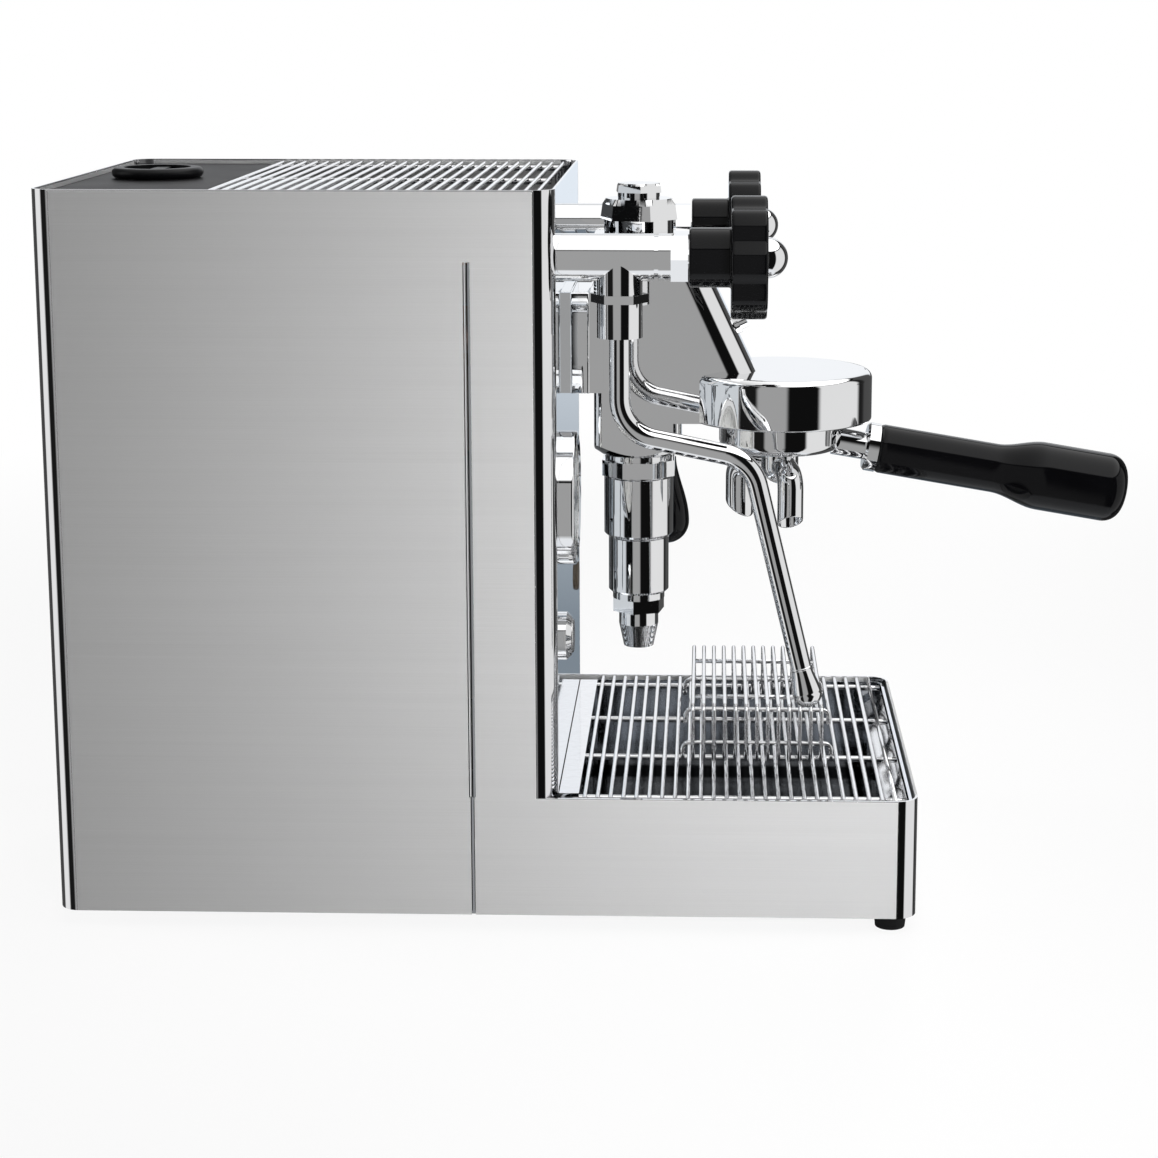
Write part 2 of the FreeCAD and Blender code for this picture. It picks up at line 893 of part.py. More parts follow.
column = rounded(column, d.slope_round, on_slope)
column = rounded(column, d.edge_round, on_column)
far = d.base_far * 2
bottom_trim = turned(
    [
        (d.base_flat, d.group_low),
        (d.base_far, d.group_low + d.base_rise),
        (far, d.group_low + d.base_rise),
        (far, d.group_low - d.over),
        (d.base_flat, d.group_low - d.over),
    ],
    (0, d.axis_y, 0),
)
column = cut(column, bottom_trim)
flange = box(
    -d.flange_half, d.flange_half, d.group_back - d.edge_round - d.over, d.panel_face,
    d.flange_low, d.flange_high,
)
bell = turned(
    [
        (0, d.bell_low),
        (d.bell_radius - d.bell_edge, d.bell_low),
        (d.bell_radius, d.bell_low + d.bell_edge, d.bell_edge, 1),
        (d.bell_radius, d.bell_high - d.bell_round),
        (d.bell_radius - d.bell_round, d.bell_high, d.bell_round, 1),
        (0, d.bell_high),
    ],
    (0, d.bell_y, 0),
)
lever_boss = rod(
    d.boss_radius, d.boss_end - d.group_half + d.over, (d.group_half - d.over, d.lever_y, d.lever_z), "right",
)
casting = fuse(column, flange, bell, lever_boss)
lip_top = d.bell_low + d.bell_lip
bore = turned(
    [
        (0, d.bell_low - d.over),
        (d.bell_mouth, d.bell_low - d.over),
        (d.bell_mouth, lip_top),
        (d.bell_bore, lip_top),
        (d.bell_bore, d.bell_roof),
        (0, d.bell_roof),
    ],
    (0, d.bell_y, 0),
)
ear_slots = padded(
    [plain(-d.bell_bore + d.loose, d.bell_bore - d.loose, -d.ear_slot, d.ear_slot)],
    d.bell_lip + d.over,
    (0, d.bell_y, d.bell_low - d.over),
    ((0, 0, 1), -sizes["unlock"]),
)
shaft_bore = rod(
    d.shaft_radius + d.run_gap, d.boss_end - d.group_half + d.over,
    (d.group_half, d.lever_y, d.lever_z), "right",
)
keep("group_body", cut(casting, bore, ear_slots, shaft_bore))

nut_neck = rod(d.neck_radius, d.nut_low - d.group_high, (0, d.axis_y, d.group_high))
nut_hex = prism(6, d.nut_corner, d.nut_high - d.nut_low, (0, d.axis_y, d.nut_low), ((0, 0, 1), 30))
nut_form = turned(
    [
        (0, d.nut_low),
        (d.nut_corner + d.over, d.nut_low),
        (d.nut_corner, d.nut_mid),
        (d.nut_crown, d.nut_high),
        (0, d.nut_high),
    ],
    (0, d.axis_y, 0),
)
keep("group_top_nut", fuse(nut_neck, common(nut_hex, nut_form)))

cap_bevel = d.cap_disc - d.cap_neck
cap = [
    (0, d.nut_high),
    (d.cap_neck, d.nut_high),
    (d.cap_neck, d.cap_step),
    (d.cap_disc, d.cap_step),
    (d.cap_disc, d.cap_high - cap_bevel),
    (d.cap_neck, d.cap_high),
    (0, d.cap_high),
]
keep("top_cap", turned(cap, (0, d.axis_y, 0)))

collar = rod(d.collar_radius, d.group_low - d.collar_low, (0, d.axis_y, d.collar_low))
octagon = prism(
    8, d.octagon_corner, d.collar_low - d.octagon_low, (0, d.axis_y, d.octagon_low), ((0, 0, 1), 22.5),
)
keep("chamber_nut", fuse(collar, octagon))

upper = [
    (0, d.upper_low),
    (d.upper_radius - d.bevel, d.upper_low),
    (d.upper_radius, d.upper_low + d.bevel),
    (d.upper_radius, d.octagon_low - d.bevel),
    (d.upper_radius - d.bevel, d.octagon_low),
    (0, d.octagon_low),
]
keep("chamber_upper", turned(upper, (0, d.axis_y, 0)))

lower = [
    (0, d.throat_low),
    (d.throat_radius, d.throat_low),
    (d.throat_radius, d.lower_low),
    (d.lower_radius - d.bevel, d.lower_low),
    (d.lower_radius, d.lower_low + d.bevel),
    (d.lower_radius, d.upper_low - d.bevel),
    (d.lower_radius - d.bevel, d.upper_low),
    (0, d.upper_low),
]
keep("chamber_lower", turned(lower, (0, d.axis_y, 0)))

drain_hex = prism(
    6, d.drain_corner, d.throat_low - d.drain_hex_low, (0, d.axis_y, d.drain_hex_low),
    ((0, 0, 1), -sizes["drain_turn"]),
)
drain_pipe = turned(
    [
        (0, d.drain_low),
        (d.drain_tip, d.drain_low),
        (d.drain_radius, d.drain_taper),
        (d.drain_radius, d.drain_hex_low),
        (0, d.drain_hex_low),
    ],
    (0, d.axis_y, 0),
)
drain_hole = rod(d.drain_hole, d.drain_taper - d.drain_low + d.over, (0, d.axis_y, d.drain_low - d.over))
keep("drain_nozzle", cut(fuse(drain_hex, drain_pipe), drain_hole))

slope_fall = d.group_high - (d.bell_high - d.bell_round)
slope_run = d.slope_top_y - d.slope_low_y
slope_angle = math.degrees(math.atan2(slope_run.value, slope_fall.value))
part_way = d.screw_along / slope_fall
screw_at = (0, d.slope_top_y - slope_run * part_way, d.group_high - d.screw_along)
screw_tall = d.screw_head * 2
screw = [
    (0, 0),
    (d.screw_disc, 0),
    (d.screw_disc, d.screw_disc / 2),
    (d.screw_head, d.screw_disc / 2),
    (d.screw_head, screw_tall),
    (0, screw_tall),
]
keep("bleed_screw", turned(screw, screw_at, ((1, 0, 0), 90 - slope_angle)))

gasket = [
    (d.gasket_in, d.gasket_low),
    (d.gasket_out, d.gasket_low),
    (d.gasket_out, d.bell_roof),
    (d.gasket_in, d.bell_roof),
]
keep("group_gasket", turned(gasket, (0, d.bell_y, 0)))
screen_radius = d.gasket_in - d.stem_gap
keep("shower_screen", rod(screen_radius, d.screen_thick, (0, d.bell_y, d.bell_roof - d.screen_thick)))

# brew lever
shaft = rod(
    d.shaft_radius, d.lever_x - d.group_half - d.over, (d.group_half + d.over, d.lever_y, d.lever_z), "right",
)
hub = rod(d.lever_hub, d.lever_hub * 2, (d.lever_x - d.lever_hub, d.lever_y, d.lever_z), "right")
arm = rod(d.lever_arm, d.lever_z - d.knob_top, (d.lever_x, d.lever_y, d.knob_top))
keep("lever_shaft", fuse(shaft, hub, arm))
drop = d.knob_top - d.knob_low
fat_at = drop - d.knob_fat
knob = [
    (0, 0),
    (d.lever_arm + d.over, 0),
    (d.knob_fat, fat_at, drop * 2, -1),
    (0, drop, d.knob_fat, 1),
]
keep("lever_knob", turned(knob, (d.lever_x, d.lever_y, d.knob_top), "down"))

# portafilter
bowl = turned(
    [
        (0, d.bowl_low),
        (d.bowl_radius - d.edge_round - d.over, d.bowl_low),
        (d.bowl_radius, d.bowl_low + d.edge_round + d.over, d.edge_round + d.over, 1),
        (d.bowl_radius, d.bell_low - d.over),
        (d.bowl_top_radius, d.bell_low),
        (d.bowl_top_radius, d.bowl_high),
        (0, d.bowl_high),
    ],
    (0, d.bell_y, 0),
)
ear_low = lip_top + d.weld
ear_ring = turned(
    [
        (d.bowl_radius, ear_low),
        (d.ear_radius, ear_low),
        (d.ear_radius, d.ear_high),
        (d.bowl_radius, d.ear_high),
    ],
    (0, d.bell_y, 0),
)
ear_box = box(
    -d.ear_radius - d.over, d.ear_radius + d.over, d.bell_y - d.ear_half, d.bell_y + d.ear_half,
    ear_low - d.over, d.ear_high + d.over,
)
droop = math.radians(sizes["droop"])
handle_turn = ((1, 0, 0), 90 + sizes["droop"])
arm_at = (
    0, d.bell_y - d.arm_start * math.cos(droop), d.droop_z - d.arm_start * math.sin(droop),
)
bowl_arm = rod(d.arm_radius, d.ferrule_start - d.arm_start, arm_at, handle_turn)
bowl_room = rod(d.bowl_inside, d.bowl_high - d.bowl_floor + d.over, (0, d.bell_y, d.bowl_floor))
bowl_hole = rod(d.drain_hole, d.bowl_floor - d.bowl_low + d.over * 2, (0, d.bell_y, d.bowl_low - d.over))
bowl_solid = fuse(bowl, common(ear_ring, ear_box), bowl_arm)
keep("portafilter_body", cut(bowl_solid, bowl_room, bowl_hole))

thin = d.basket_wall
basket = [
    (0, d.basket_low),
    (d.basket_radius, d.basket_low),
    (d.basket_radius, d.bowl_high),
    (d.basket_rim, d.bowl_high),
    (d.basket_rim, d.bowl_high + thin),
    (d.basket_radius - thin, d.bowl_high + thin),
    (d.basket_radius - thin, d.basket_low + thin),
    (0, d.basket_low + thin),
]
keep("filter_basket", turned(basket, (0, d.bell_y, 0)))

bar_z = d.spout_bar_z
tubes = [rod(d.spout_top, d.bowl_low - bar_z, (0, d.bell_y, bar_z))]
tubes.append(ball(d.spout_top, (0, d.bell_y, bar_z)))
bores = [rod(d.drain_hole, d.bowl_low - bar_z + d.over, (0, d.bell_y, bar_z))]
near_leg = (-d.spout_near_x, d.bell_y - d.spout_near_y)
far_leg = (d.spout_far_x, d.bell_y + d.spout_far_y)
stem = (0, d.bell_y, bar_z)
for x, y in (near_leg, far_leg):
    tubes.append(pipe([stem, (x, y, bar_z), (x, y, d.spout_low)], d.spout_bend, d.spout_tube))
    bores.append(pipe([stem, (x, y, bar_z), (x, y, d.spout_low - d.over)], d.spout_bend, d.spout_bore))
keep("spout", cut(fuse(*tubes), fuse(*bores)))

handle_at = (0, d.bell_y, d.droop_z)
ferrule = [
    (0, d.ferrule_start),
    (d.ferrule_radius - d.bevel, d.ferrule_start),
    (d.ferrule_radius, d.ferrule_start + d.bevel),
    (d.ferrule_radius, d.handle_start),
    (0, d.handle_start),
]
keep("portafilter_ferrule", turned(ferrule, handle_at, handle_turn))
handle = [
    (0, d.handle_start),
    (d.handle_slim, d.handle_start),
    (d.handle_slim, d.handle_neck),
    (d.handle_fat, d.handle_fat_start),
    (d.handle_fat, d.handle_end - d.handle_round),
    (d.handle_fat - d.handle_round, d.handle_end, d.handle_round, 1),
    (0, d.handle_end),
]
keep("portafilter_handle", turned(handle, handle_at, handle_turn))

# steam tap at the left, water tap at the right
thin_nuts = []
for name, side in (("steam", -1), ("water", 1)):
    x = side * tap_x
    groove = d.tap_radius - d.groove_deep
    barrel = turned(
        [
            (0, -d.panel_face),
            (d.tap_radius, -d.panel_face),
            (d.tap_radius, d.groove_at),
            (groove, d.groove_at),
            (groove, d.groove_at + d.groove_wide),
            (d.tap_radius, d.groove_at + d.groove_wide),
            (d.tap_radius, d.tap_end),
            (0, d.tap_end),
        ],
        (x, 0, d.tap_z),
        "front",
    )
    tap_hex = prism(6, d.tap_hex, d.tap_hex_end - d.tap_end, (x, -d.tap_end, d.tap_z), "front")
    branch = rod(d.branch_radius, d.tap_z - d.branch_low, (x, d.branch_y, d.branch_low))
    stem_bore = rod(
        d.stem_radius + d.stem_gap, d.tap_hex_end - d.stem_bore_end + d.over,
        (x, -d.stem_bore_end, d.tap_z), "front",
    )
    socket = rod(
        d.wand_radius + d.stem_gap, d.wand_socket - d.branch_low + d.over,
        (x, d.branch_y, d.branch_low - d.over),
    )
    keep(name + "_valve_body", cut(fuse(barrel, tap_hex, branch), stem_bore, socket))

    nut = prism(
        6, d.nut_thin_corner, d.nut_thin_high - d.nut_thin_low, (x, d.branch_y, d.nut_thin_low),
        ((0, 0, 1), 30),
    )
    nut_bore = rod(
        d.branch_radius, d.nut_thin_high - d.nut_thin_low + d.over * 2,
        (x, d.branch_y, d.nut_thin_low - d.over),
    )
    thin_nuts.append(cut(nut, nut_bore))

    spindle = [
        (0, d.stem_start),
        (d.stem_radius, d.stem_start),
        (d.stem_radius, d.wheel_end),
        (d.dome_radius, d.wheel_end),
        (0, d.wheel_end + d.dome_radius, d.dome_radius, 1),
    ]
    keep(name + "_spindle", turned(spindle, (x, 0, d.tap_z), "front"))

    wheel = [
        (d.stem_radius, d.hub_start),
        (d.hub_radius - d.wheel_round, d.hub_start),
        (d.hub_radius, d.hub_start + d.wheel_round, d.wheel_round, 1),
        (d.hub_radius, d.wheel_start),
        (d.wheel_radius - d.wheel_round, d.wheel_start),
        (d.wheel_radius, d.wheel_start + d.wheel_round, d.wheel_round, 1),
        (d.wheel_radius, d.wheel_end - d.wheel_round),
        (d.wheel_radius - d.wheel_round, d.wheel_end, d.wheel_round, 1),
        (d.stem_radius, d.wheel_end),
    ]
    knob = turned(wheel, (x, 0, d.tap_z), "front")
    scallops = []
    lobes = 8
    for i in range(lobes):
        turn = 2 * math.pi * (i + 0.5) / lobes
        at = (
            x + d.scallop_at * math.cos(turn), -(d.wheel_start - d.over),
            d.tap_z + d.scallop_at * math.sin(turn),
        )
        scallops.append(rod(d.scallop_radius, d.wheel_end - d.wheel_start + d.over * 2, at, "front"))
    keep(name + "_knob", cut(knob, group(*scallops)))
keep("wand_nuts", group(*thin_nuts))

lean_y = d.wand_end_y.value - d.wand_elbow_y.value
lean_z = d.wand_end_z.value - d.wand_elbow_z.value
lean = math.atan2(-lean_y, -lean_z)
tube_end = (
    -tap_x, d.wand_end_y + d.tip_length * math.sin(lean), d.wand_end_z + d.tip_length * math.cos(lean),
)
wand_path = [
    (-tap_x, d.branch_y, d.wand_top),
    (-tap_x, d.branch_y, d.wand_knee_z),
    (-tap_x, d.wand_elbow_y, d.wand_elbow_z),
    tube_end,
]
keep("steam_wand", pipe(wand_path, d.wand_bend, d.wand_radius, d.wand_bore))
tip = [
    (0, 0),
    (d.wand_radius, 0),
    (d.tip_radius, d.tip_taper),
    (0, d.tip_length, d.tip_length - d.tip_taper, 1),
]
keep("steam_tip", turned(tip, tube_end, ((1, 0, 0), 180 - math.degrees(lean))))

spray_tube = rod(d.wand_radius, d.wand_top - d.spray_top, (tap_x, d.branch_y, d.spray_top))
spray_bore = rod(
    d.wand_bore, d.wand_top - d.spray_top + d.over * 2, (tap_x, d.branch_y, d.spray_top - d.over),
)
keep("water_wand", cut(spray_tube, spray_bore))
spray = [
    (0, 0),
    (d.wand_radius, 0),
    (d.spray_radius, d.wand_radius),
    (d.spray_radius, d.spray_length - d.bevel),
    (d.spray_radius - d.bevel, d.spray_length),
    (0, d.spray_length),
]
keep("water_tip", turned(spray, (tap_x, d.branch_y, d.spray_top), "down"))

# gauge; local height runs forward from the panel's face
dial_front = d.bezel_lip + d.dial_thick
needle_base = dial_front + d.needle_gap
glass_base = needle_base + d.needle_thick + d.needle_gap
gauge_at = (-gauge_x, d.panel_face, d.gauge_z)
case_rear = d.panel_face + d.case_depth
dial_radius = d.bezel_inside - d.dial_gap
dial_rear = d.panel_face - d.bezel_lip
glass_rear = d.panel_face - glass_base
case_long = d.case_depth + d.bezel_lip
keep("gauge_case", rod(d.case_radius, case_long, (-gauge_x, case_rear, d.gauge_z), "front"))
keep("gauge_dial", rod(dial_radius, d.dial_thick, (-gauge_x, dial_rear, d.gauge_z), "front"))
keep("gauge_lens", rod(dial_radius, d.glass_thick, (-gauge_x, glass_rear, d.gauge_z), "front"))
ring = [
    (d.bezel_inside, 0),
    (d.bezel_radius, 0),
    (d.bezel_radius, d.bezel_stand - d.bezel_lip),
    (d.bezel_radius - d.bezel_lip, d.bezel_stand, d.bezel_lip, 1),
    (d.bezel_inside, d.bezel_stand - d.bezel_lip / 2),
]
keep("gauge_bezel", turned(ring, gauge_at, "front"))
pointer = box(
    -d.needle_wide / 2, d.needle_wide / 2, -(needle_base + d.needle_thick), -needle_base,
    -d.needle_long, d.needle_tail,
)
boss = rod(d.needle_hub, d.needle_thick + d.loose, (0, -needle_base, 0), "front")
pivot = rod(d.needle_wide / 2, d.needle_gap + d.loose / 2, (0, -(dial_front + d.dial_gap), 0), "front")
keep("gauge_needle", put(fuse(pointer, boss, pivot), gauge_at, ((0, 1, 0), sizes["needle_rest"])))

# power button and indicator lamp
button_at = (-gauge_x, d.panel_face, d.button_z)
ring = [
    (d.ring_bore, 0),
    (d.ring_radius, 0),
    (d.ring_radius, d.ring_stand / 2),
    (d.ring_radius - d.ring_stand / 2, d.ring_stand),
    (d.ring_bore, d.ring_stand),
]
keep("button_bezel", turned(ring, button_at, "front"))
cap = [
    (0, d.button_out - d.button_length),
    (d.button_radius, d.button_out - d.button_length),
    (d.button_radius, d.button_out - d.bevel),
    (d.button_radius - d.bevel, d.button_out, d.bevel, 1),
    (0, d.button_out),
]
keep("power_button", turned(cap, button_at, "front"))
lamp = [
    (0, -d.case_depth),
    (d.lamp_radius, -d.case_depth),
    (d.lamp_radius, 0),
    (d.lamp_ring, 0),
    (d.lamp_ring, d.lamp_out - d.bevel),
    (d.lamp_ring - d.bevel, d.lamp_out, d.bevel, 1),
    (0, d.lamp_out),
]
keep("indicator_lamp", turned(lamp, (gauge_x, d.panel_face, d.button_z), "front"))

# boiler, pump, electrics and pipes inside
w = d.boiler_wall
vessel = [
    (0, -boiler_half),
    (d.boiler_end, -boiler_half),
    (d.boiler_radius, -boiler_shoulder),
    (d.boiler_radius, boiler_shoulder),
    (d.boiler_end, boiler_half),
    (0, boiler_half),
    (0, boiler_half - w),
    (d.boiler_end - w, boiler_half - w),
    (d.boiler_radius - w, boiler_shoulder - w),
    (d.boiler_radius - w, w - boiler_shoulder),
    (d.boiler_end - w, w - boiler_half),
    (0, w - boiler_half),
]
boiler_at = (0, d.boiler_y, d.boiler_z)
keep("boiler", turned(vessel, boiler_at, "right"))


def boiler_form():
    return rod(d.boiler_radius, boiler_half * 2, (-boiler_half, d.boiler_y, d.boiler_z), "right")


stands = []
for side in (-1, 1):
    x = side * d.stand_x
    plate = box(x - d.stand_half, x + d.stand_half, d.stand_front, d.stand_rear, pan_top, d.stand_high)
    stands.append(cut(plate, boiler_form()))
keep("boiler_stands", group(*stands))

heater = [rod(d.heater_radius, d.heater_thick, (boiler_half, d.boiler_y, d.boiler_z), "right")]
for y in (d.boiler_y - d.pin_gap, d.boiler_y, d.boiler_y + d.pin_gap):
    heater.append(rod(d.pin_radius, d.heater_thick + d.pin_long, (boiler_half, y, d.boiler_z), "right"))
keep("heating_element", fuse(*heater))

pump_z = pan_top + d.pump_rise
pump_body = rod(d.pump_radius, d.pump_rear - d.pump_front, (d.pump_x, d.pump_front, pump_z), "back")
pump_feet = []
for y in (d.pump_front + d.pump_foot_inset, d.pump_rear - d.pump_foot_inset - d.pump_foot):
    pump_feet.append(
        box(d.pump_x - d.pump_radius, d.pump_x + d.pump_radius, y, y + d.pump_foot, pan_top, pump_z)
    )
keep("pump", fuse(pump_body, *pump_feet))
keep("control_box", box(d.box_left, d.box_right, d.box_front, d.box_rear, pan_top, d.box_high))

runs = []
for x, z in ((-d.brew_x, d.brew_high), (d.brew_x, d.brew_low)):
    straight = rod(d.pipe_radius, d.boiler_y - d.panel_face, (x, d.panel_face, z), "back")
    runs.append(cut(straight, boiler_form()))
boiler_top = d.boiler_z + d.boiler_radius
for side in (-1, 1):
    x = side * tap_x
    path = [
        (x, d.panel_face, d.tap_z),
        (x, d.boiler_y, d.tap_z),
        (x, d.boiler_y, boiler_top - d.boiler_wall),
    ]
    runs.append(cut(pipe(path, d.pipe_bend, d.pipe_small), boiler_form()))
pump_form = rod(d.pump_radius, d.pump_rear - d.pump_front, (d.pump_x, d.pump_front, pump_z), "back")
riser_pipe = rod(d.pipe_small, d.boiler_z - d.boiler_radius + w - pump_z, (d.pump_x, d.boiler_y, pump_z))
runs.append(cut(riser_pipe, pump_form, boiler_form()))
runs.append(rod(d.pipe_small, d.dock_front - d.pump_rear, (d.pump_x, d.pump_rear, pump_z), "back"))
keep("pipework", group(*runs))

rim = d.inlet_rim
inlet_back = d.rear_face - d.inlet_sink
inlet_block = box(
    inlet_left, inlet_right, d.rear_face - d.inlet_deep, d.rear_face, d.inlet_low, d.inlet_high,
)
inlet_room = box(
    inlet_left + rim, inlet_right - rim, inlet_back, d.rear_face + d.over,
    d.inlet_low + rim, d.inlet_high - rim,
)
inlet_x = (inlet_left + inlet_right) / 2
inlet_z = (d.inlet_low + d.inlet_high) / 2
blades = []
for dx, dz in ((-1, -1), (1, -1), (0, 1)):
    x = inlet_x + d.blade_half * (3 * dx)
    z = inlet_z + d.blade_half * (3 * dz)
    b = d.blade_half
    blades.append(box(x - b, x + b, inlet_back - d.over, inlet_back + d.blade_long, z - b, z + b))
keep("mains_inlet", fuse(cut(inlet_block, inlet_room), *blades))

doc.recompute()
os.makedirs("parts", exist_ok=True)
for thing in doc.Objects:
    bad = [word for word in thing.State if word in ("Invalid", "Error")]
    if bad:
        raise SystemExit("failed: %s %s" % (thing.Label, bad))
for name, thing in nodes.items():
    if thing.Shape.isNull() or not thing.Shape.isValid():
        raise SystemExit("bad shape: " + name)
for name, thing in nodes.items():
    thing.Shape.exportStep("parts/%s.step" % name)
print("parts:", len(nodes))
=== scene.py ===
import json
import math

import bpy
import numpy as np
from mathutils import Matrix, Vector


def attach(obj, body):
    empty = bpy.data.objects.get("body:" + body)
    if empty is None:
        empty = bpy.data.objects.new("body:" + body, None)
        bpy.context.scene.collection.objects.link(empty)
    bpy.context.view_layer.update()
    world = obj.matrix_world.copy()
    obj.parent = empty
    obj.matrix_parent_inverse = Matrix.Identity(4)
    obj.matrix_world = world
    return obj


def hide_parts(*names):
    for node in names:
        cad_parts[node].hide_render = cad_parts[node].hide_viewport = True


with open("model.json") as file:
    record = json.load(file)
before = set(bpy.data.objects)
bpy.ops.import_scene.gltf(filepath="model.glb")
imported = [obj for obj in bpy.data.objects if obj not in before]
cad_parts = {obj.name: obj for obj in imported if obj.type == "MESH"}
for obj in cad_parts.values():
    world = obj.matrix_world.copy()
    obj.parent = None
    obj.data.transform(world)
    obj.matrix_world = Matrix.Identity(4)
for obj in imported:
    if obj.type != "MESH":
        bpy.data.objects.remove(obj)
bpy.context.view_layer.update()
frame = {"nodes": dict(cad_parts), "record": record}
nodes = frame["nodes"]
mm = 0.001
bumpReach = 0.0002  # metres between the lowest and the highest point of a full bump
print("frame loaded:", len(nodes), "nodes")


# shader maths as Python: a socket with operators, and one method for every other node
class Signal:
    def __init__(self, tree, socket=None):
        self.tree = tree
        self.socket = socket

    def node(self, kind, settings=None, inputs=None, out=0):
        made = self.tree.nodes.new(kind)
        for key, value in (settings or {}).items():
            if key == "stops":  # colour ramp as (place, grey) pairs
                ramp = made.color_ramp
                while len(ramp.elements) < len(value):
                    ramp.elements.new(0.5)
                for element, (place, tone) in zip(ramp.elements, value):
                    element.position = place
                    element.color = (tone, tone, tone, 1)
            elif key == "interpolation":
                made.color_ramp.interpolation = value
            else:
                setattr(made, key, value)
        for key, value in (inputs or {}).items():
            if isinstance(value, Signal):
                self.tree.links.new(value.socket, made.inputs[key])
            else:
                made.inputs[key].default_value = value
        return Signal(self.tree, made.outputs[out])

    def maths(self, operation, first, second=0.0):
        return self.node("ShaderNodeMath", {"operation": operation}, {0: first, 1: second})

    def __add__(self, other):
        return self.maths("ADD", self, other)

    def __radd__(self, other):
        return self.maths("ADD", other, self)

    def __sub__(self, other):
        return self.maths("SUBTRACT", self, other)

    def __rsub__(self, other):
        return self.maths("SUBTRACT", other, self)

    def __mul__(self, other):
        return self.maths("MULTIPLY", self, other)

    def __rmul__(self, other):
        return self.maths("MULTIPLY", other, self)

    def __truediv__(self, other):
        return self.maths("DIVIDE", self, other)

    def rise(self, low, high):
        # 0 at low, 1 at high and held outside; low above high falls instead
        return self.node("ShaderNodeMapRange", {"clamp": True}, {0: self, 1: low, 2: high})

    def larger(self, other):
        return self.maths("MAXIMUM", self, other)

    def place(self, scale=(1, 1, 1)):
        spot = self.node("ShaderNodeTexCoord", out="Object")
        return self.node("ShaderNodeMapping", None, {"Vector": spot, "Scale": scale})

    def parts(self, vector):
        split = self.node("ShaderNodeSeparateXYZ", None, {0: vector}).socket.node
        return [Signal(self.tree, split.outputs[i]) for i in range(3)]

    def noise(self, vector, scale=1.0, detail=2.0):
        return self.node("ShaderNodeTexNoise", None, {"Vector": vector, "Scale": scale, "Detail": detail})

    def mixColour(self, factor, low, high):
        low, high = (c if isinstance(c, Signal) else (*c, 1) for c in (low, high))
        return self.node("ShaderNodeMix", {"data_type": "RGBA"}, {"Factor": factor, 6: low, 7: high}, 2)

    def bump(self, height, strength):
        inputs = {"Height": height, "Strength": strength, "Distance": bumpReach}
        return self.node("ShaderNodeBump", None, inputs)


def newFinish(name, sockets, recipe):
    # sockets holds the fixed values, the recipe gives what changes over the surface
    material = bpy.data.materials.new(name)
    material.use_nodes = True
    tree = material.node_tree
    shader = tree.nodes["Principled BSDF"]
    for key, value in sockets.items():
        shader.inputs[key].default_value = value
    for key, signal in recipe(Signal(tree)).items():
        tree.links.new(signal.socket, shader.inputs[key])
    return material


# pattern scales per metre: low along the lines of a finish, high across them
patternScale = {
    "brush": (9, 9, 1700), "caseBrush": (7, 7, 1900), "streak": (4, 4, 330), "cloud": (2, 2, 3),
    "plate": (14, 14, 14), "wipe": (60, 60, 260), "drawn": (700, 300, 300),
    "lidSkin": 1600.0, "mottle": 35.0, "stainAndShade": 22.0, "tarnish": 45.0, "glass": 60.0,
}


def brushedRecipe(low, high, rough, depth):
    # grain: noise drawn out along the sheet, fine across it; roughness and bump follow the same lines
    def recipe(s):
        grain = s.noise(s.place(patternScale["brush"]), detail=3.0)
        cloud = s.noise(s.place(patternScale["cloud"]), detail=1.0)
        tone = grain * 0.55 + cloud * 0.45
        return {
            "Base Color": s.mixColour(tone, low, high),
            "Roughness": grain * 0.12 + rough,
            "Normal": s.bump(grain, depth),
        }
    return recipe


# where the case's polish comes in: each pair starts and ends a mask, in metres
caseEdge = {
    "outer": (0.0990, 0.1000), "rearBend": (0.2528, 0.2536), "baseFront": (-0.1406, -0.1414),
    "upperFront": (0.0314, 0.0306), "overBase": (0.0652, 0.0660), "top": (0.3538, 0.3546),
}


def caseRecipe(s):
    # brushed sheet whose bends and top edge are polished: the masks follow the sheet's own sizes
    e = caseEdge
    x, y, z = s.parts(s.place())
    outer = s.maths("ABSOLUTE", x).rise(*e["outer"])
    bend = y.rise(*e["rearBend"]).larger(y.rise(*e["baseFront"]))
    bend = bend.larger(y.rise(*e["upperFront"]) * z.rise(*e["overBase"])) * outer
    polished = bend.larger(z.rise(*e["top"]))
    grain = s.noise(s.place(patternScale["caseBrush"]), detail=3.0)
    streak = s.noise(s.place(patternScale["streak"]))
    cloud = s.noise(s.place(patternScale["cloud"]), detail=1.0)
    tone = grain * 0.4 + streak * 0.3 + cloud * 0.3
    sheet = s.mixColour(tone, (0.55, 0.55, 0.55), (0.67, 0.67, 0.67))
    plain = 1.0 - polished
    return {
        "Base Color": s.mixColour(polished, sheet, (0.88, 0.88, 0.89)),
        "Roughness": (grain * 0.14 + 0.44) * plain + polished * 0.035,
        "Metallic": polished * 0.4 + 0.6,
        "Normal": s.bump(grain * plain, 0.35),
    }


lidEdge = {"plate": 0.3526, "pull": 0.3530}  # heights in metres between which one gives way to the other


def lidRecipe(s):
    # moulded lid with a fine grain; its raised pull is smoother, and its colour is painted near-black as
    # painted shade
    pull = s.parts(s.place())[2].rise(lidEdge["plate"], lidEdge["pull"])
    skin = s.noise(s.place(), patternScale["lidSkin"], detail=3.0)
    mottle = s.noise(s.place(), patternScale["mottle"])
    plate = s.mixColour(mottle, (0.010, 0.010, 0.011), (0.015, 0.015, 0.016))
    return {
        # painted shade: the pull's near-black colour stands in for the shade on and around the grip
        "Base Color": s.mixColour(pull, plate, (0.0025, 0.0025, 0.003)),
        "Roughness": mottle * 0.12 + 0.46 - pull * 0.14,
        "Normal": s.bump(skin * (1.0 - pull), 0.25),
    }


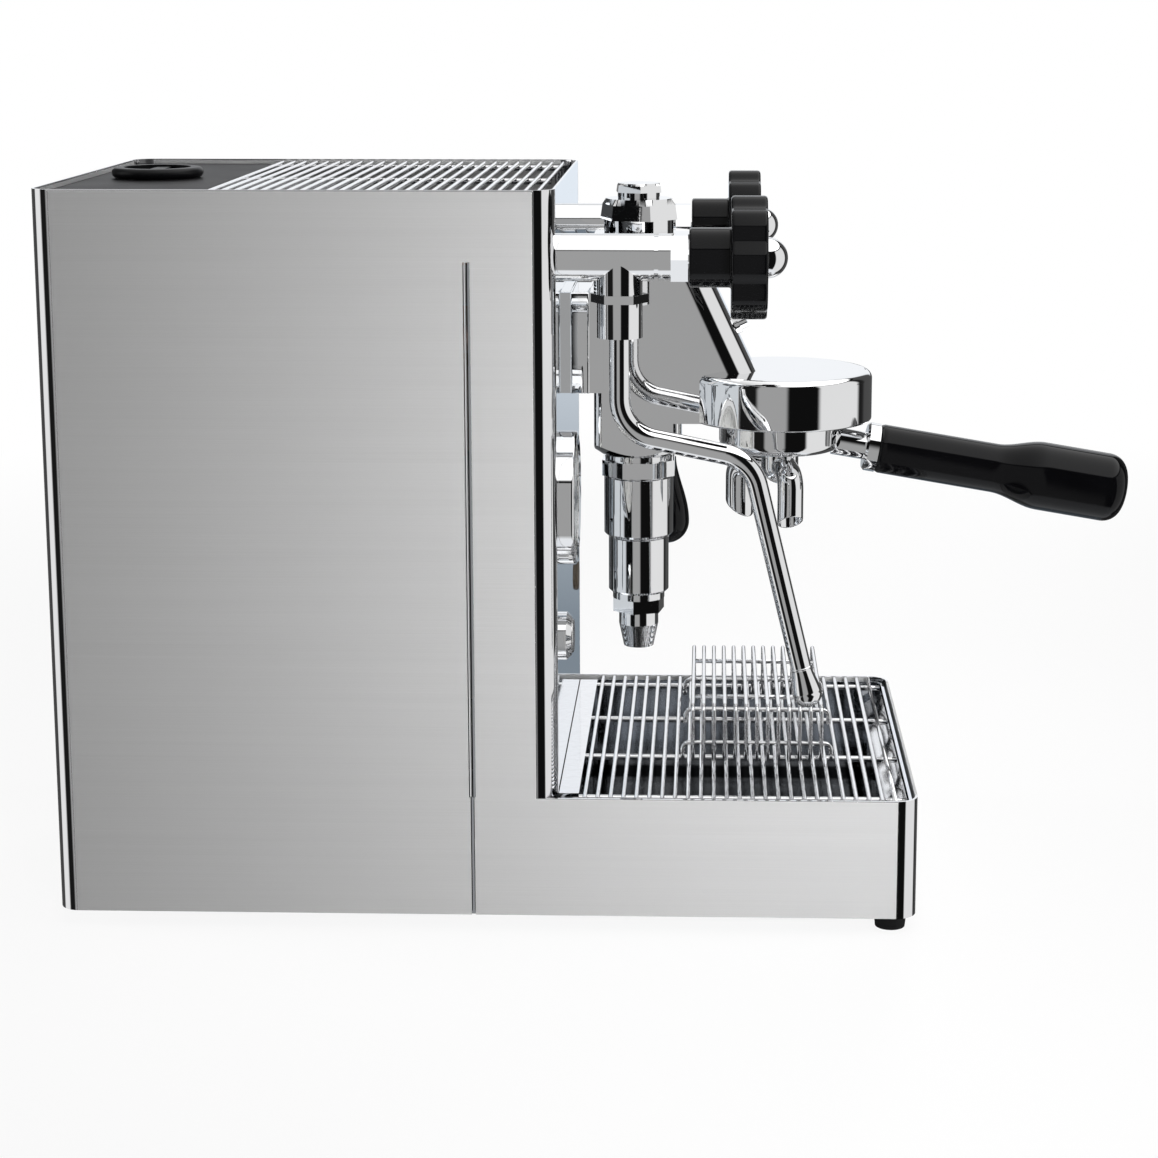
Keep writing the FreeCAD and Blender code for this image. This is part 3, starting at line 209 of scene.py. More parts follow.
wellEdge = {"floor": 0.0135, "wall": 0.0150}  # heights in metres, as on the lid


def wellRecipe(s):
    # pressed sheet: bright rim and walls whose blue-white tint is a painted reflection; duller and darker on
    # its floor, which is painted shade
    wall = s.parts(s.place())[2].rise(wellEdge["floor"], wellEdge["wall"])
    stainAndShade = s.noise(s.place(), patternScale["stainAndShade"], detail=3.0)
    # painted shade: the floor's dark colour stands in for the shade down in the well, with a random mottle in
    # it
    floor = s.mixColour(stainAndShade, (0.040, 0.042, 0.046), (0.075, 0.078, 0.085))
    # painted reflection: the walls' blue-white tint stands in for bluish reflections
    return {"Base Color": s.mixColour(wall, floor, (0.80, 0.83, 0.87)), "Roughness": stainAndShade * 0.05 + 0.03}


def polishRecipe(low, high, rough, spread):
    # plate: faint clouding in the colour, a little unevenness in the polish
    def recipe(s):
        cloud = s.noise(s.place(patternScale["plate"]))
        wipe = s.noise(s.place(patternScale["wipe"]))
        return {"Base Color": s.mixColour(cloud, low, high), "Roughness": wipe * spread + rough}
    return recipe


def mouldedRecipe(low, high, rough, spread, scale, depth):
    # moulding: fine skin grain, a little mottling in colour and gloss
    def recipe(s):
        skin = s.noise(s.place(), scale, detail=3.0)
        mottle = s.noise(s.place(), patternScale["mottle"])
        return {
            "Base Color": s.mixColour(mottle, low, high),
            "Roughness": mottle * spread + rough,
            "Normal": s.bump(skin, depth),
        }
    return recipe


def rackRecipe(s):
    # drawn wire: faint lines round it from the die
    ring = s.noise(s.place(patternScale["drawn"]))
    return {
        "Base Color": s.mixColour(ring, (0.82, 0.82, 0.83), (0.94, 0.94, 0.95)),
        "Roughness": ring * 0.06 + 0.05,
    }


def copperRecipe(s):
    # copper that has gone brown and dull in patches
    tarnish = s.noise(s.place(), patternScale["tarnish"], detail=5.0)
    return {
        "Base Color": s.mixColour(tarnish, (0.42, 0.20, 0.11), (0.78, 0.42, 0.26)),
        "Roughness": tarnish * 0.3 + 0.2,
    }


def glassRecipe(s):
    # glass with faint smears
    return {"Roughness": s.noise(s.place(), patternScale["glass"]) * 0.02}


metal = {"Metallic": 1.0}
weakShine = {"Specular IOR Level": 0.2}
finishes = {
    "brushed_steel": newFinish(
        "brushed sheet", metal, brushedRecipe((0.55,) * 3, (0.67,) * 3, rough=0.40, depth=0.30)),
    # painted reflection: the blue tint in the mirror panel's colour stands in for a blue-grey reflection
    "mirror_steel": newFinish(
        "mirror panel", metal,
        polishRecipe((0.76, 0.80, 0.84), (0.82, 0.86, 0.90), rough=0.02, spread=0.03)),
    "plain_steel": newFinish(
        "tray sheet", metal,
        polishRecipe((0.58, 0.60, 0.63), (0.70, 0.72, 0.75), rough=0.07, spread=0.08)),
    "wire_steel": newFinish("polished wire", metal, rackRecipe),
    "chrome": newFinish(
        "chrome plate", metal,
        polishRecipe((0.86, 0.865, 0.87), (0.93, 0.93, 0.935), rough=0.02, spread=0.025)),
    "basket_steel": newFinish(
        "basket steel", metal, brushedRecipe((0.5,) * 3, (0.6,) * 3, rough=0.25, depth=0.05)),
    "black_gloss": newFinish(
        "black bakelite", weakShine,
        mouldedRecipe((0.0010, 0.0010, 0.0012), (0.0020, 0.0020, 0.0024),
                      rough=0.03, spread=0.04, scale=900.0, depth=0.01)),
    "dark_plastic": newFinish(
        "dark plastic", {},
        mouldedRecipe((0.017, 0.017, 0.018), (0.024, 0.024, 0.026),
                      rough=0.42, spread=0.12, scale=1600.0, depth=0.25)),
    "rubber": newFinish(
        "foot rubber", weakShine,
        mouldedRecipe((0.002, 0.002, 0.002), (0.005, 0.005, 0.005),
                      rough=0.62, spread=0.15, scale=700.0, depth=0.3)),
    "tank_plastic": newFinish(
        "tank plastic", {"Transmission Weight": 0.55, "IOR": 1.45},
        mouldedRecipe((0.55, 0.60, 0.64), (0.66, 0.71, 0.75),
                      rough=0.15, spread=0.08, scale=500.0, depth=0.05)),
    "dial_white": newFinish(
        "dial enamel", {},
        mouldedRecipe((0.80, 0.80, 0.78), (0.88, 0.88, 0.86),
                      rough=0.35, spread=0.08, scale=900.0, depth=0.05)),
    "needle_black": newFinish(
        "needle paint", {},
        mouldedRecipe((0.012, 0.012, 0.012), (0.02, 0.02, 0.02),
                      rough=0.45, spread=0.1, scale=900.0, depth=0.05)),
    "lens_glass": newFinish(
        "gauge glass",
        {"Transmission Weight": 1.0, "IOR": 1.45, "Alpha": 0.3, "Base Color": (0.97, 0.98, 0.98, 1)},
        glassRecipe),
    "button_steel": newFinish(
        "button steel", metal, brushedRecipe((0.58,) * 3, (0.70,) * 3, rough=0.22, depth=0.05)),
    "lamp_amber": newFinish(
        "lamp lens", {"Specular IOR Level": 0.3},
        mouldedRecipe((0.040, 0.032, 0.024), (0.060, 0.048, 0.036),
                      rough=0.3, spread=0.06, scale=300.0, depth=0.05)),
    "copper": newFinish("boiler copper", metal, copperRecipe),
}
caseFinish = newFinish("case sheet", metal, caseRecipe)
wellFinish = newFinish("well sheet", metal, wellRecipe)
# painted shade: the deck's near-black colour stands in for the shade under the cup riser's wires
shadedDeckFinish = newFinish(
    "deck sheet", metal, polishRecipe((0.030, 0.031, 0.033), (0.060, 0.061, 0.064), rough=0.08, spread=0.06))
lidFinish = newFinish("tank lid", weakShine, lidRecipe)
ownFinish = {
    "drip_tray": wellFinish, "top_tray": shadedDeckFinish, "tank_lid": lidFinish,
    "back_panel": caseFinish, "base_front_plate": caseFinish,
    "left_side_panel": caseFinish, "right_side_panel": caseFinish,
}
for part in frame["record"]["subparts"]:
    mesh = nodes[part["node"]].data
    mesh.materials.clear()
    mesh.materials.append(ownFinish.get(part["node"], finishes[part["material_slot"]]))
print("finishes laid on:", len(finishes))


def addPiece(name, mesh, slotName, body):
    # a mesh becomes a piece that rides on a body and wears its slot's finish
    mesh.materials.append(finishes[slotName])
    piece = bpy.data.objects.new(name, mesh)
    bpy.context.collection.objects.link(piece)
    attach(piece, body)
    return piece


def grow(name, grids, slotName, body, closed=True, smooth=True):
    # grids of points (rows, columns, 3) become one skin; columns close round when closed is true
    spots, quads, first = [], [], 0
    for grid in grids:
        rows, columns = grid.shape[:2]
        index = np.arange(rows * columns).reshape(rows, columns) + first
        side = np.roll(index, -1, axis=1) if closed else index[:, 1:]
        left = index if closed else index[:, :-1]
        quads.append(np.stack([left[:-1], side[:-1], side[1:], left[1:]], axis=-1).reshape(-1, 4))
        spots.append(grid.reshape(-1, 3))
        first += rows * columns
    mesh = bpy.data.meshes.new(name)
    mesh.from_pydata(np.concatenate(spots).tolist(), [], np.concatenate(quads).tolist())
    mesh.validate()
    mesh.polygons.foreach_set("use_smooth", np.full(len(mesh.polygons), smooth))
    return addPiece(name, mesh, slotName, body)


def rounded(corners, steps=8):
    # corners (first, second, rounding) become a polyline whose corners are quadratic curves
    points = np.array([c[:2] for c in corners], float)
    out = []
    for i, corner in enumerate(corners):
        size = corner[2]
        if size == 0 or i in (0, len(corners) - 1):
            out.append(points[i][None])
            continue
        toBefore = points[i - 1] - points[i]
        toAfter = points[i + 1] - points[i]
        a = points[i] + toBefore * min(size / np.linalg.norm(toBefore), 0.5)
        b = points[i] + toAfter * min(size / np.linalg.norm(toAfter), 0.5)
        t = np.linspace(0, 1, steps)[:, None]
        out.append((1 - t) ** 2 * a + 2 * t * (1 - t) * points[i] + t ** 2 * b)
    return np.concatenate(out)


def axes(direction):
    # two unit vectors square to a direction and to each other, and the direction as a third
    ahead = np.array(direction, float) / np.linalg.norm(direction)
    helper = np.array([1.0, 0, 0]) if abs(ahead[0]) < 0.9 else np.array([0, 0, 1.0])
    first = np.cross(helper, ahead)
    first /= np.linalg.norm(first)
    return first, np.cross(ahead, first), ahead


def lathe(profile, centre, direction, sides=96, shape=None):
    # point = centre + height along the axis + radius round it; shape changes the radius by angle
    first, second, ahead = axes(direction)
    angle = np.linspace(0, 2 * np.pi, sides, endpoint=False)
    radius = profile[:, 0][:, None] * np.ones(sides)
    if shape is not None:
        radius = shape(radius, angle[None, :], profile)
    ring = np.cos(angle)[:, None] * first + np.sin(angle)[:, None] * second
    return (np.array(centre) + radius[..., None] * ring[None] + profile[:, 1][:, None, None] * ahead) * mm


# lobed tap knobs: a hub, a wheel with a shallow dish in its face, and a boss in the dish
knobSize = {
    "tapX": 85, "tapZ": 322, "hubStart": 40.7, "hub": 14, "wheelStart": 60.2, "wheelEnd": 77.15,
    "wheel": 28.9, "bore": 4.05, "dish": (0.62, 0.58), "dishDeep": 0.8, "boss": (11.2, 10.8),
    "hubRound": (1.4, 1.2), "wheelRound": 1.8, "dishRound": 2.0, "bossRound": (0.6, 0.4),
    "lobes": 8, "dip": 2.5, "dipStart": 17, "dipOver": 9, "dipPower": 1.6,
}


def tapKnob(name, x, body):
    # a closed outline turned round the tap's axis, with its rim in lobes
    k = knobSize
    dishFloor = k["wheelEnd"] - k["dishDeep"]
    outline = rounded([
        (k["bore"], k["hubStart"], 0),
        (k["hub"], k["hubStart"], k["hubRound"][0]), (k["hub"], k["wheelStart"], k["hubRound"][1]),
        (k["wheel"], k["wheelStart"], k["wheelRound"]), (k["wheel"], k["wheelEnd"], k["wheelRound"]),
        (k["wheel"] * k["dish"][0], k["wheelEnd"], k["dishRound"]),
        (k["wheel"] * k["dish"][1], dishFloor, k["dishRound"]),
        (k["boss"][0], dishFloor, k["bossRound"][0]), (k["boss"][1], k["wheelEnd"], k["bossRound"][1]),
        (k["bore"], k["wheelEnd"], 0), (k["bore"], k["hubStart"], 0),
    ])

    def lobed(radius, angle, profile):
        # the rim draws in between lobes: radius less a dip that fades towards the hub
        weight = np.clip((profile[:, 0] - k["dipStart"]) / k["dipOver"], 0, 1)[:, None]
        wave = (0.5 - 0.5 * np.cos(k["lobes"] * angle)) ** k["dipPower"]
        return radius - weight * k["dip"] * wave

    grid = lathe(outline, (x, 0, k["tapZ"]), (0, -1, 0), sides=192, shape=lobed)
    return grow(name, [grid], "black_gloss", body)


for side, tap in ((-1, "steam"), (1, "water")):
    knob = tapKnob(tap + "_tap_knob", side * knobSize["tapX"], tap + "_tap_unit")
    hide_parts(tap + "_knob")
print("tap knobs made")

# portafilter handle
handleSize = {
    "droop": 9.6, "bellY": -86.5, "axisZ": 224.9, "start": 50.02, "neck": 110, "fat": 134, "end": 177.5,
    "slim": 12.4, "thick": 17.3, "round": 10.5, "capPower": 0.62, "edge": 0.8,
}


def handleProfile(h):
    # slim grip, a smooth step out to the knob end, then a blunt cap: a power of a cosine over a sine
    grip = np.linspace(h["start"], h["end"] - h["round"], 60)
    t = np.clip((grip - h["neck"]) / (h["fat"] - h["neck"]), 0, 1)
    radius = h["slim"] + (h["thick"] - h["slim"]) * t * t * (3 - 2 * t)
    turn = np.linspace(0, np.pi / 2, 16)[1:]
    capR = h["thick"] * np.cos(turn) ** h["capPower"]
    capZ = h["end"] - h["round"] + h["round"] * np.sin(turn)
    body = np.column_stack([np.concatenate([radius, capR]), np.concatenate([grip, capZ])])
    return np.concatenate([[[0.0, h["start"]], [h["slim"] - h["edge"], h["start"]]], body[1:]])


droop = math.radians(handleSize["droop"])
handleAxis = (0, -math.cos(droop), -math.sin(droop))
handle = grow(
    "portafilter_grip",
    [lathe(handleProfile(handleSize), (0, handleSize["bellY"], handleSize["axisZ"]), handleAxis)],
    "black_gloss", "portafilter_unit")
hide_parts("portafilter_handle")

# brew lever knob
leverSize = {"at": (62, -28), "top": 199.98, "low": 153, "neck": 4.9, "fat": 12, "swellPower": 1.7}


def dropProfile(k):
    # a drop: the neck swells along a power of a sine to its widest, then closes as a quarter circle
    tall = k["top"] - k["low"]
    swell = np.linspace(0, 1, 40)
    upR = k["neck"] + (k["fat"] - k["neck"]) * np.sin(swell * np.pi / 2) ** k["swellPower"]
    upZ = swell * (tall - k["fat"])
    turn = np.linspace(0, np.pi / 2, 20)[1:]
    lowR, lowZ = k["fat"] * np.cos(turn), tall - k["fat"] + k["fat"] * np.sin(turn)
    points = np.column_stack([np.concatenate([upR, lowR]), np.concatenate([upZ, lowZ])])
    return np.concatenate([[[0.0, 0.0]], points])


leverGrid = lathe(dropProfile(leverSize), (*leverSize["at"], leverSize["top"]), (0, 0, -1))
leverKnob = grow("brew_lever_knob", [leverGrid], "black_gloss", "lever_unit")
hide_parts("lever_knob")
print("handles made")

# double spout: a stem with a round foot, and two legs cut at a slant
spoutSize = {
    "at": (0, -86.5), "stem": 9.4, "top": 216.4, "ball": 207.5, "turn": 209, "straight": 198,
    "legs": ((-19, -91.4, 6.5), (19, -66.4, 7.2)), "legStart": 0.12, "low": 177.6, "slant": 0.62,
    # rings of a leg's end as (share of the radius, share of the drop), over the rim and up inside
    "rim": ((1.0, 0.5), (1.0, 0.93), (0.985, 0.985), (0.94, 1.0), (0.86, 1.0), (0.80, 0.97), (0.79, 0.2)),
}


def spoutLeg(k, x, y, radius):
    # the middle line is a quadratic curve out of the stem, then a straight drop
    # the drop ends lower on its inner side
    start, corner = np.array([*k["at"], k["ball"]]), np.array([x, y, k["turn"]])
    end = np.array([x, y, k["straight"]])
    t = np.linspace(k["legStart"], 1, 24)[:, None]
    line = (1 - t) ** 2 * start + 2 * t * (1 - t) * corner + t ** 2 * end
    ahead = 2 * (1 - t) * (corner - start) + 2 * t * (end - corner)
    ahead /= np.linalg.norm(ahead, axis=1)[:, None]
    outward = np.array([x - k["at"][0], y - k["at"][1], 0.0])
    outward /= np.linalg.norm(outward)
    across = np.cross(outward, (0, 0, 1))
    angle = np.linspace(0, 2 * np.pi, 64, endpoint=False)
    second = np.cross(ahead, across)
    bend = line[:, None] + radius * (
        np.cos(angle)[None, :, None] * across + np.sin(angle)[None, :, None] * second[:, None])
    lastRing = bend[-1] - line[-1]
    low = k["low"] + k["slant"] * radius * (1 + (lastRing @ outward) / radius)
    rings = [bend]
    for size, share in k["rim"]:
        ring = np.array([x, y, 0.0]) + lastRing * size
        ring[:, 2] = k["straight"] + (low - k["straight"]) * share
        rings.append(ring[None])
    return np.concatenate(rings) * mm


k = spoutSize
ballTurn = np.linspace(0, np.pi / 2, 14)
ball = np.column_stack([k["stem"] * np.cos(ballTurn), k["ball"] - k["stem"] * np.sin(ballTurn)])
stem = lathe(np.concatenate([[[k["stem"], k["top"]]], ball]), (*k["at"], 0), (0, 0, 1), sides=64)
legs = [spoutLeg(k, *leg) for leg in k["legs"]]
spout = grow("double_spout", [stem] + legs, "chrome", "portafilter_unit")
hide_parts("spout")

# steam tip: a collar, then a bulb with a ring line and a round end, as (radius, way along the tip)
tipSize = {
    "x": -85, "elbow": (-70.5, 226.1), "end": (-99.8, 105.6), "long": 20, "neck": 5.0, "bulb": 7.2,
    "collar": ((4.6, 0.0), (5.3, 0.05), (5.3, 0.9), (5.0, 1.1)), "bulbStart": 1.3, "bulbLong": 11.4,
    "swellPower": 1.4, "line": (0.25, 12.95), "roundStart": 13.2, "roundLong": 6.8, "roundPower": 0.8,
}
k = tipSize
tipWay = np.array([0, k["end"][0] - k["elbow"][0], k["end"][1] - k["elbow"][1]], float)
tipWay /= np.linalg.norm(tipWay)
tipStart = np.array([k["x"], *k["end"]]) - tipWay * k["long"]
swell = np.linspace(0, 1, 22)
# the bulb swells as a power of the way along it, and levels off towards its widest
bulbR = k["neck"] + (k["bulb"] - k["neck"]) * swell ** k["swellPower"] * (1.6 - 0.6 * swell)
roundTurn = np.linspace(0, np.pi / 2, 14)[1:]
roundR = k["bulb"] * np.cos(roundTurn) ** k["roundPower"]
tipProfile = np.concatenate([
    k["collar"], np.column_stack([bulbR, k["bulbStart"] + swell * k["bulbLong"]]),
    [[k["bulb"] - k["line"][0], k["line"][1]]],
    np.column_stack([roundR, k["roundStart"] + k["roundLong"] * np.sin(roundTurn)])])
tip = grow("steam_tip_bulb", [lathe(tipProfile, tipStart, tipWay, sides=64)], "chrome", "steam_wand_unit")
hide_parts("steam_tip")
print("spout and tip made")

# flange sleeve: a block with rounded uprights between the group and the front panel
sleeveSize = {
    "half": 25.4, "front": 8.6, "rear": 19.0, "round": 1.6, "low": 247.8, "high": 298.2,
    "edge": 0.5, "cover": 1.4,
}


def sleeveRing(k, inset, height):
    # a rounded oblong, drawn in by inset, at one height
    midY, halfY = (k["rear"] + k["front"]) / 2, (k["rear"] - k["front"]) / 2
    reach = k["round"] - inset
    corners = []
    for cx, cy, turn in ((1, 1, 0), (-1, 1, 1), (-1, -1, 2), (1, -1, 3)):
        arc = np.pi / 2 * (turn + np.linspace(0, 1, 9))
        atX, atY = (k["half"] - k["round"]) * cx, midY + (halfY - k["round"]) * cy
        corners.append(np.column_stack([atX + reach * np.cos(arc), atY + reach * np.sin(arc)]))
    flat = np.concatenate(corners)
    return np.column_stack([flat, np.full(len(flat), height)])


k = sleeveSize
sleeve = [sleeveRing(k, inset, height) for inset, height in (
    (k["cover"], k["low"]), (k["edge"], k["low"]), (0.0, k["low"] + k["edge"]),
    (0.0, k["high"] - k["edge"]), (k["edge"], k["high"]), (k["cover"], k["high"]))]
grow("flange_sleeve", [np.stack(sleeve) * mm], "chrome", "housing")

# group nut and cap: turned outlines cut by six flats that lean in towards the top
flatSize = {
    "y": -14.7, "step": 0.02,
    "nut": {
        "neck": 17.4, "foot": 326.02, "low": 332.5, "mid": 340, "high": 343,
        "corner": (19.8, 18.7), "crown": 16.5, "facing": 18.75,
    },
    "cap": {
        "neck": 10.5, "foot": 343.02, "low": 346, "mid": 349.4, "high": 350.5,
        "corner": (12.5, 12.0), "crown": 10.4, "facing": 5.625,
    },
}


def sixFlats(k):
    # the radius is the turned outline's, or the distance to the nearest flat where that is less
    step = flatSize["step"]
    outline = np.array([
        (0, k["foot"]), (k["neck"], k["foot"]), (k["neck"], k["low"]), (k["corner"][0], k["low"] + step),
        (k["corner"][1], k["mid"]), (k["crown"], k["high"]), (0, k["high"])], float)

    def flats(radius, angle, profile):
        turn = (angle - math.radians(k["facing"]) + np.pi / 6) % (np.pi / 3) - np.pi / 6
        height = profile[:, 1][:, None]
        corner = np.where(height < k["mid"], k["corner"][0], k["corner"][1])
        reach = corner * math.cos(np.pi / 6) / np.cos(turn)
        return np.where(height > k["low"] + step / 2, np.minimum(radius, reach), radius)

    return lathe(outline, (0, flatSize["y"], 0), (0, 0, 1), sides=192, shape=flats)


for part, node in (("nut", "group_top_nut"), ("cap", "top_cap")):
    flatPiece = grow("group_" + part, [sixFlats(flatSize[part])], "chrome", "housing", smooth=False)
    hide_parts(node)


def wire(path, across, radius, sides=12):
    # rings of one circle square to a path that lies in a plane; across is the plane's normal; the ends close
    path = np.array(path, float)
    across = np.array(across, float)
    ahead = np.gradient(path, axis=0)
    ahead /= np.linalg.norm(ahead, axis=1)[:, None]
    aside = np.cross(across, ahead)
    angle = np.linspace(0, 2 * np.pi, sides, endpoint=False)[None, :, None]
    rings = path[:, None] + radius * (np.cos(angle) * aside[:, None] + np.sin(angle) * across)
    ends = [np.repeat(path[i][None, None], sides, axis=1) for i in (0, -1)]
    return np.concatenate([ends[0], rings, ends[1]]) * mm


# cup riser: bent wires, two rods under them and three hooked rods
riserSize = {
    "rear": -43, "pitch": 5.35, "count": 13, "near": -48, "far": 72, "top": 93.5, "foot": 66.02,
    "bend": 5, "wire": 1.0, "rod": 1.15, "rodX": (46, -22), "rodZ": 91.5, "hookBend": 4,
    # hooked rods as (x, foot, top, how far they stand past the outer wires)
    "hooks": ((-45.9, 66.02, 74.6, 5.0), (-44.0, 84.2, 91.4, 3.6), (69.9, 66.02, 74.6, 5.0)),
}
k = riserSize
front = k["rear"] - k["pitch"] * (k["count"] - 1)
staple = rounded([
    (k["near"], k["foot"], 0), (k["near"], k["top"], k["bend"]),
    (k["far"], k["top"], k["bend"]), (k["far"], k["foot"], 0)])
riser = []
for i in range(k["count"]):
    row = np.full(len(staple), k["rear"] - k["pitch"] * i)
    riser.append(wire(np.column_stack([staple[:, 0], row, staple[:, 1]]), (0, 1, 0), k["wire"]))
riser += [wire([(x, k["rear"], k["rodZ"]), (x, front, k["rodZ"])], (0, 0, 1), k["rod"]) for x in k["rodX"]]
for x, low, high, past in k["hooks"]:
    hook = rounded([
        (k["rear"] + past, low, 0), (k["rear"] + past, high, k["hookBend"]),
        (front - past, high, k["hookBend"]), (front - past, low, 0)])
    riser.append(wire(np.column_stack([np.full(len(hook), x), hook]), (1, 0, 0), k["rod"]))
riserPiece = grow("cup_riser_wires", riser, "wire_steel", "riser_unit")
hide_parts("cup_riser")

# the drip grid's last wire and the rod ends in front of it
gridSize = {
    "y": -140.1, "z": 64.9, "reach": 107.0, "wire": 1.1, "rods": (-98, -33, 33, 98), "rodZ": 62.4, "rod": 1.5,
    "rodStart": -133.0, "rodEnd": -146.2,
}
k = gridSize
lastWires = [wire([(-k["reach"], k["y"], k["z"]), (k["reach"], k["y"], k["z"])], (0, 0, 1), k["wire"])]
lastWires += [
    wire([(x, k["rodStart"], k["rodZ"]), (x, k["rodEnd"], k["rodZ"])], (0, 0, 1), k["rod"])
    for x in k["rods"]]
grow("drip_grid_front", lastWires, "wire_steel", "grid_unit")

# the tray's sloping front: a straight line from top to low, hollowed by half a sine, drawn out sideways
slopeSize = {"half": 99, "top": (-146.9, 60.3), "low": (-136.5, 52.4), "sag": 0.4}
k = slopeSize
t = np.linspace(0, 1, 9)[:, None]
slope = np.array(k["top"]) * (1 - t) + np.array(k["low"]) * t - [0, k["sag"]] * np.sin(np.pi * t)
slope = np.stack([np.column_stack([np.full(len(t), x), slope]) for x in (-k["half"], k["half"])]) * mm
grow("tray_front_slope", [slope], "wire_steel", "tray_unit", closed=False)
print("wires and nuts made")

# slit lining: a slanted strip and a flat flange inside the tall slit, and a strip behind the low seam
liningSize = {
    "x": -108.9, "strip": ((-109.55, 62.55), (-108.85, 61.7)), "rear": 61.0, "front": 59.85,
    "low": 66.1, "top": 321.9, "seam": (60.95, 61.95), "foot": 8.2,
}


def upright(outline, low, high):
    # a line of (x, y) points drawn out between two heights
    outline = np.array(outline, float)
    return np.stack([np.column_stack([outline, np.full(len(outline), z)]) for z in (low, high)]) * mm


k = liningSize
grow("slit_strip", [upright(k["strip"], k["low"], k["top"])], "chrome", "housing", closed=False)
grow("slit_flange", [upright([(k["x"], k["rear"]), (k["x"], k["front"])], k["low"], k["top"])],
     "plain_steel", "housing", closed=False)
grow("seam_strip", [upright([(k["x"], k["seam"][1]), (k["x"], k["seam"][0])], k["foot"], k["low"])],
     "plain_steel", "housing", closed=False)
print("slit lined")

# gauge print: ticks and plain numbers; a pair of tick sizes is for the long and the short ones
dialSize = {
    "x": -64, "z": 203, "face": 18.38, "outer": 25.5, "start": 225, "sweep": 270, "major": 10, "minor": 5,
    "tickLong": (4.2, 2.4), "tickHalf": (0.35, 0.16),
    "numberRing": 17.5, "numberTall": 4.6, "numberStep": 0.25, "numberEvery": 2,
}


def dialTicks(d):
    # each tick is a thin quad along a radius; every fifth one is longer and wider
    count = d["major"] * d["minor"] + 1
    step = np.arange(count)
    angle = np.radians(d["start"] - d["sweep"] * step / (count - 1))
    big = step % d["minor"] == 0
    outer = np.full(count, d["outer"])
    inner = outer - np.where(big, *d["tickLong"])
    half = np.where(big, *d["tickHalf"])
    out = np.column_stack([np.cos(angle), np.sin(angle)])
    across = np.column_stack([-np.sin(angle), np.cos(angle)])
    flat = np.stack([
        out * reach[:, None] + across * (half * sign)[:, None]
        for reach, sign in ((inner, -1), (outer, -1), (outer, 1), (inner, 1))], axis=1)
    spots = np.empty((count, 4, 3))
    spots[..., 0] = flat[..., 0] + d["x"]
    spots[..., 1] = d["face"]
    spots[..., 2] = flat[..., 1] + d["z"]
    return spots.reshape(-1, 3) * mm


def quadMesh(name, spots, slotName, body):
    # every four points are one face
    mesh = bpy.data.meshes.new(name)
    mesh.from_pydata(spots.tolist(), [], np.arange(len(spots)).reshape(-1, 4).tolist())
    return addPiece(name, mesh, slotName, body)


def dialNumber(text, name, x, z):
    # text made a mesh, then stood upright on the dial's face
    curve = bpy.data.curves.new(name, "FONT")
    curve.body = text
    curve.size = dialSize["numberTall"] * mm
    curve.align_x = "CENTER"
    curve.align_y = "CENTER"
    words = bpy.data.objects.new(name, curve)
    bpy.context.collection.objects.link(words)
    bpy.context.view_layer.update()
    mesh = bpy.data.meshes.new_from_object(words.evaluated_get(bpy.context.evaluated_depsgraph_get()))
    bpy.data.objects.remove(words)
    spots = np.empty(len(mesh.vertices) * 3)
    mesh.vertices.foreach_get("co", spots)
    flat = spots.reshape(-1, 3)
    face = np.full(len(flat), dialSize["face"] * mm)
    placed = np.column_stack([flat[:, 0] + x * mm, face, flat[:, 1] + z * mm])
    mesh.vertices.foreach_set("co", placed.ravel())
    mesh.materials.clear()
    addPiece(name, mesh, "needle_black", "housing")


quadMesh("gauge_ticks", dialTicks(dialSize), "needle_black", "housing")
k = dialSize
for i in range(0, k["major"] + 1, k["numberEvery"]):
    turn = math.radians(k["start"] - k["sweep"] * i / k["major"])
    dialNumber("%g" % (k["numberStep"] * i), "gauge_number_%d" % i,
               k["x"] + k["numberRing"] * math.cos(turn), k["z"] + k["numberRing"] * math.sin(turn))
print("dial printed")

# stage: a pale floor that fades to white far off, seen by the camera and not in reflections
stageSize = {
    "floor": 8.0, "sunk": 0.0002, "fadeStart": 0.5, "fadeEnd": 1.3, "pale": 0.86, "rough": 0.9,
    "nearGlow": 0.88, "farGain": 0.12,
}
bpy.ops.mesh.primitive_plane_add(size=stageSize["floor"], location=(0, 0, -stageSize["sunk"]))
floor = bpy.context.object
floor.name = "studio_floor"
floorFinish = bpy.data.materials.new("pale floor")
floorFinish.use_nodes = True
tree = floorFinish.node_tree
s = Signal(tree)
pale = tree.nodes["Principled BSDF"]
pale.inputs["Base Color"].default_value = (*(stageSize["pale"],) * 3, 1)
pale.inputs["Roughness"].default_value = stageSize["rough"]
pale.inputs["Specular IOR Level"].default_value = 0.0
far = s.node("ShaderNodeVectorMath", {"operation": "LENGTH"}, {0: s.place()}, "Value")
seen = s.node("ShaderNodeLightPath", out="Is Camera Ray")
fade = far.rise(stageSize["fadeStart"], stageSize["fadeEnd"]) * stageSize["farGain"] + stageSize["nearGlow"]
glow = s.node("ShaderNodeEmission", None, {"Color": (1, 1, 1, 1), "Strength": 1.0})
both = s.node("ShaderNodeMixShader", None, {0: seen * fade, 1: Signal(tree, pale.outputs[0]), 2: glow})
tree.links.new(both.socket, tree.nodes["Material Output"].inputs["Surface"])
floor.data.materials.append(floorFinish)
floor.visible_glossy = False

# cards that only reflections see, as (degrees from the viewer's side, positive towards the front, brightness)
cardTurns = (
    (-180, 0.25), (-145, 0.08), (-103, 0.05), (-97, 0.85), (-66, 0.85), (-58, 0.01), (-33, 0.01), (-29, 0.36),
    (5, 0.36), (9, 0.005), (46, 0.005), (51, 0.8), (110, 0.8), (116, 0.01), (124, 0.02), (130, 0.07),
    (165, 0.08), (180, 0.25),
)
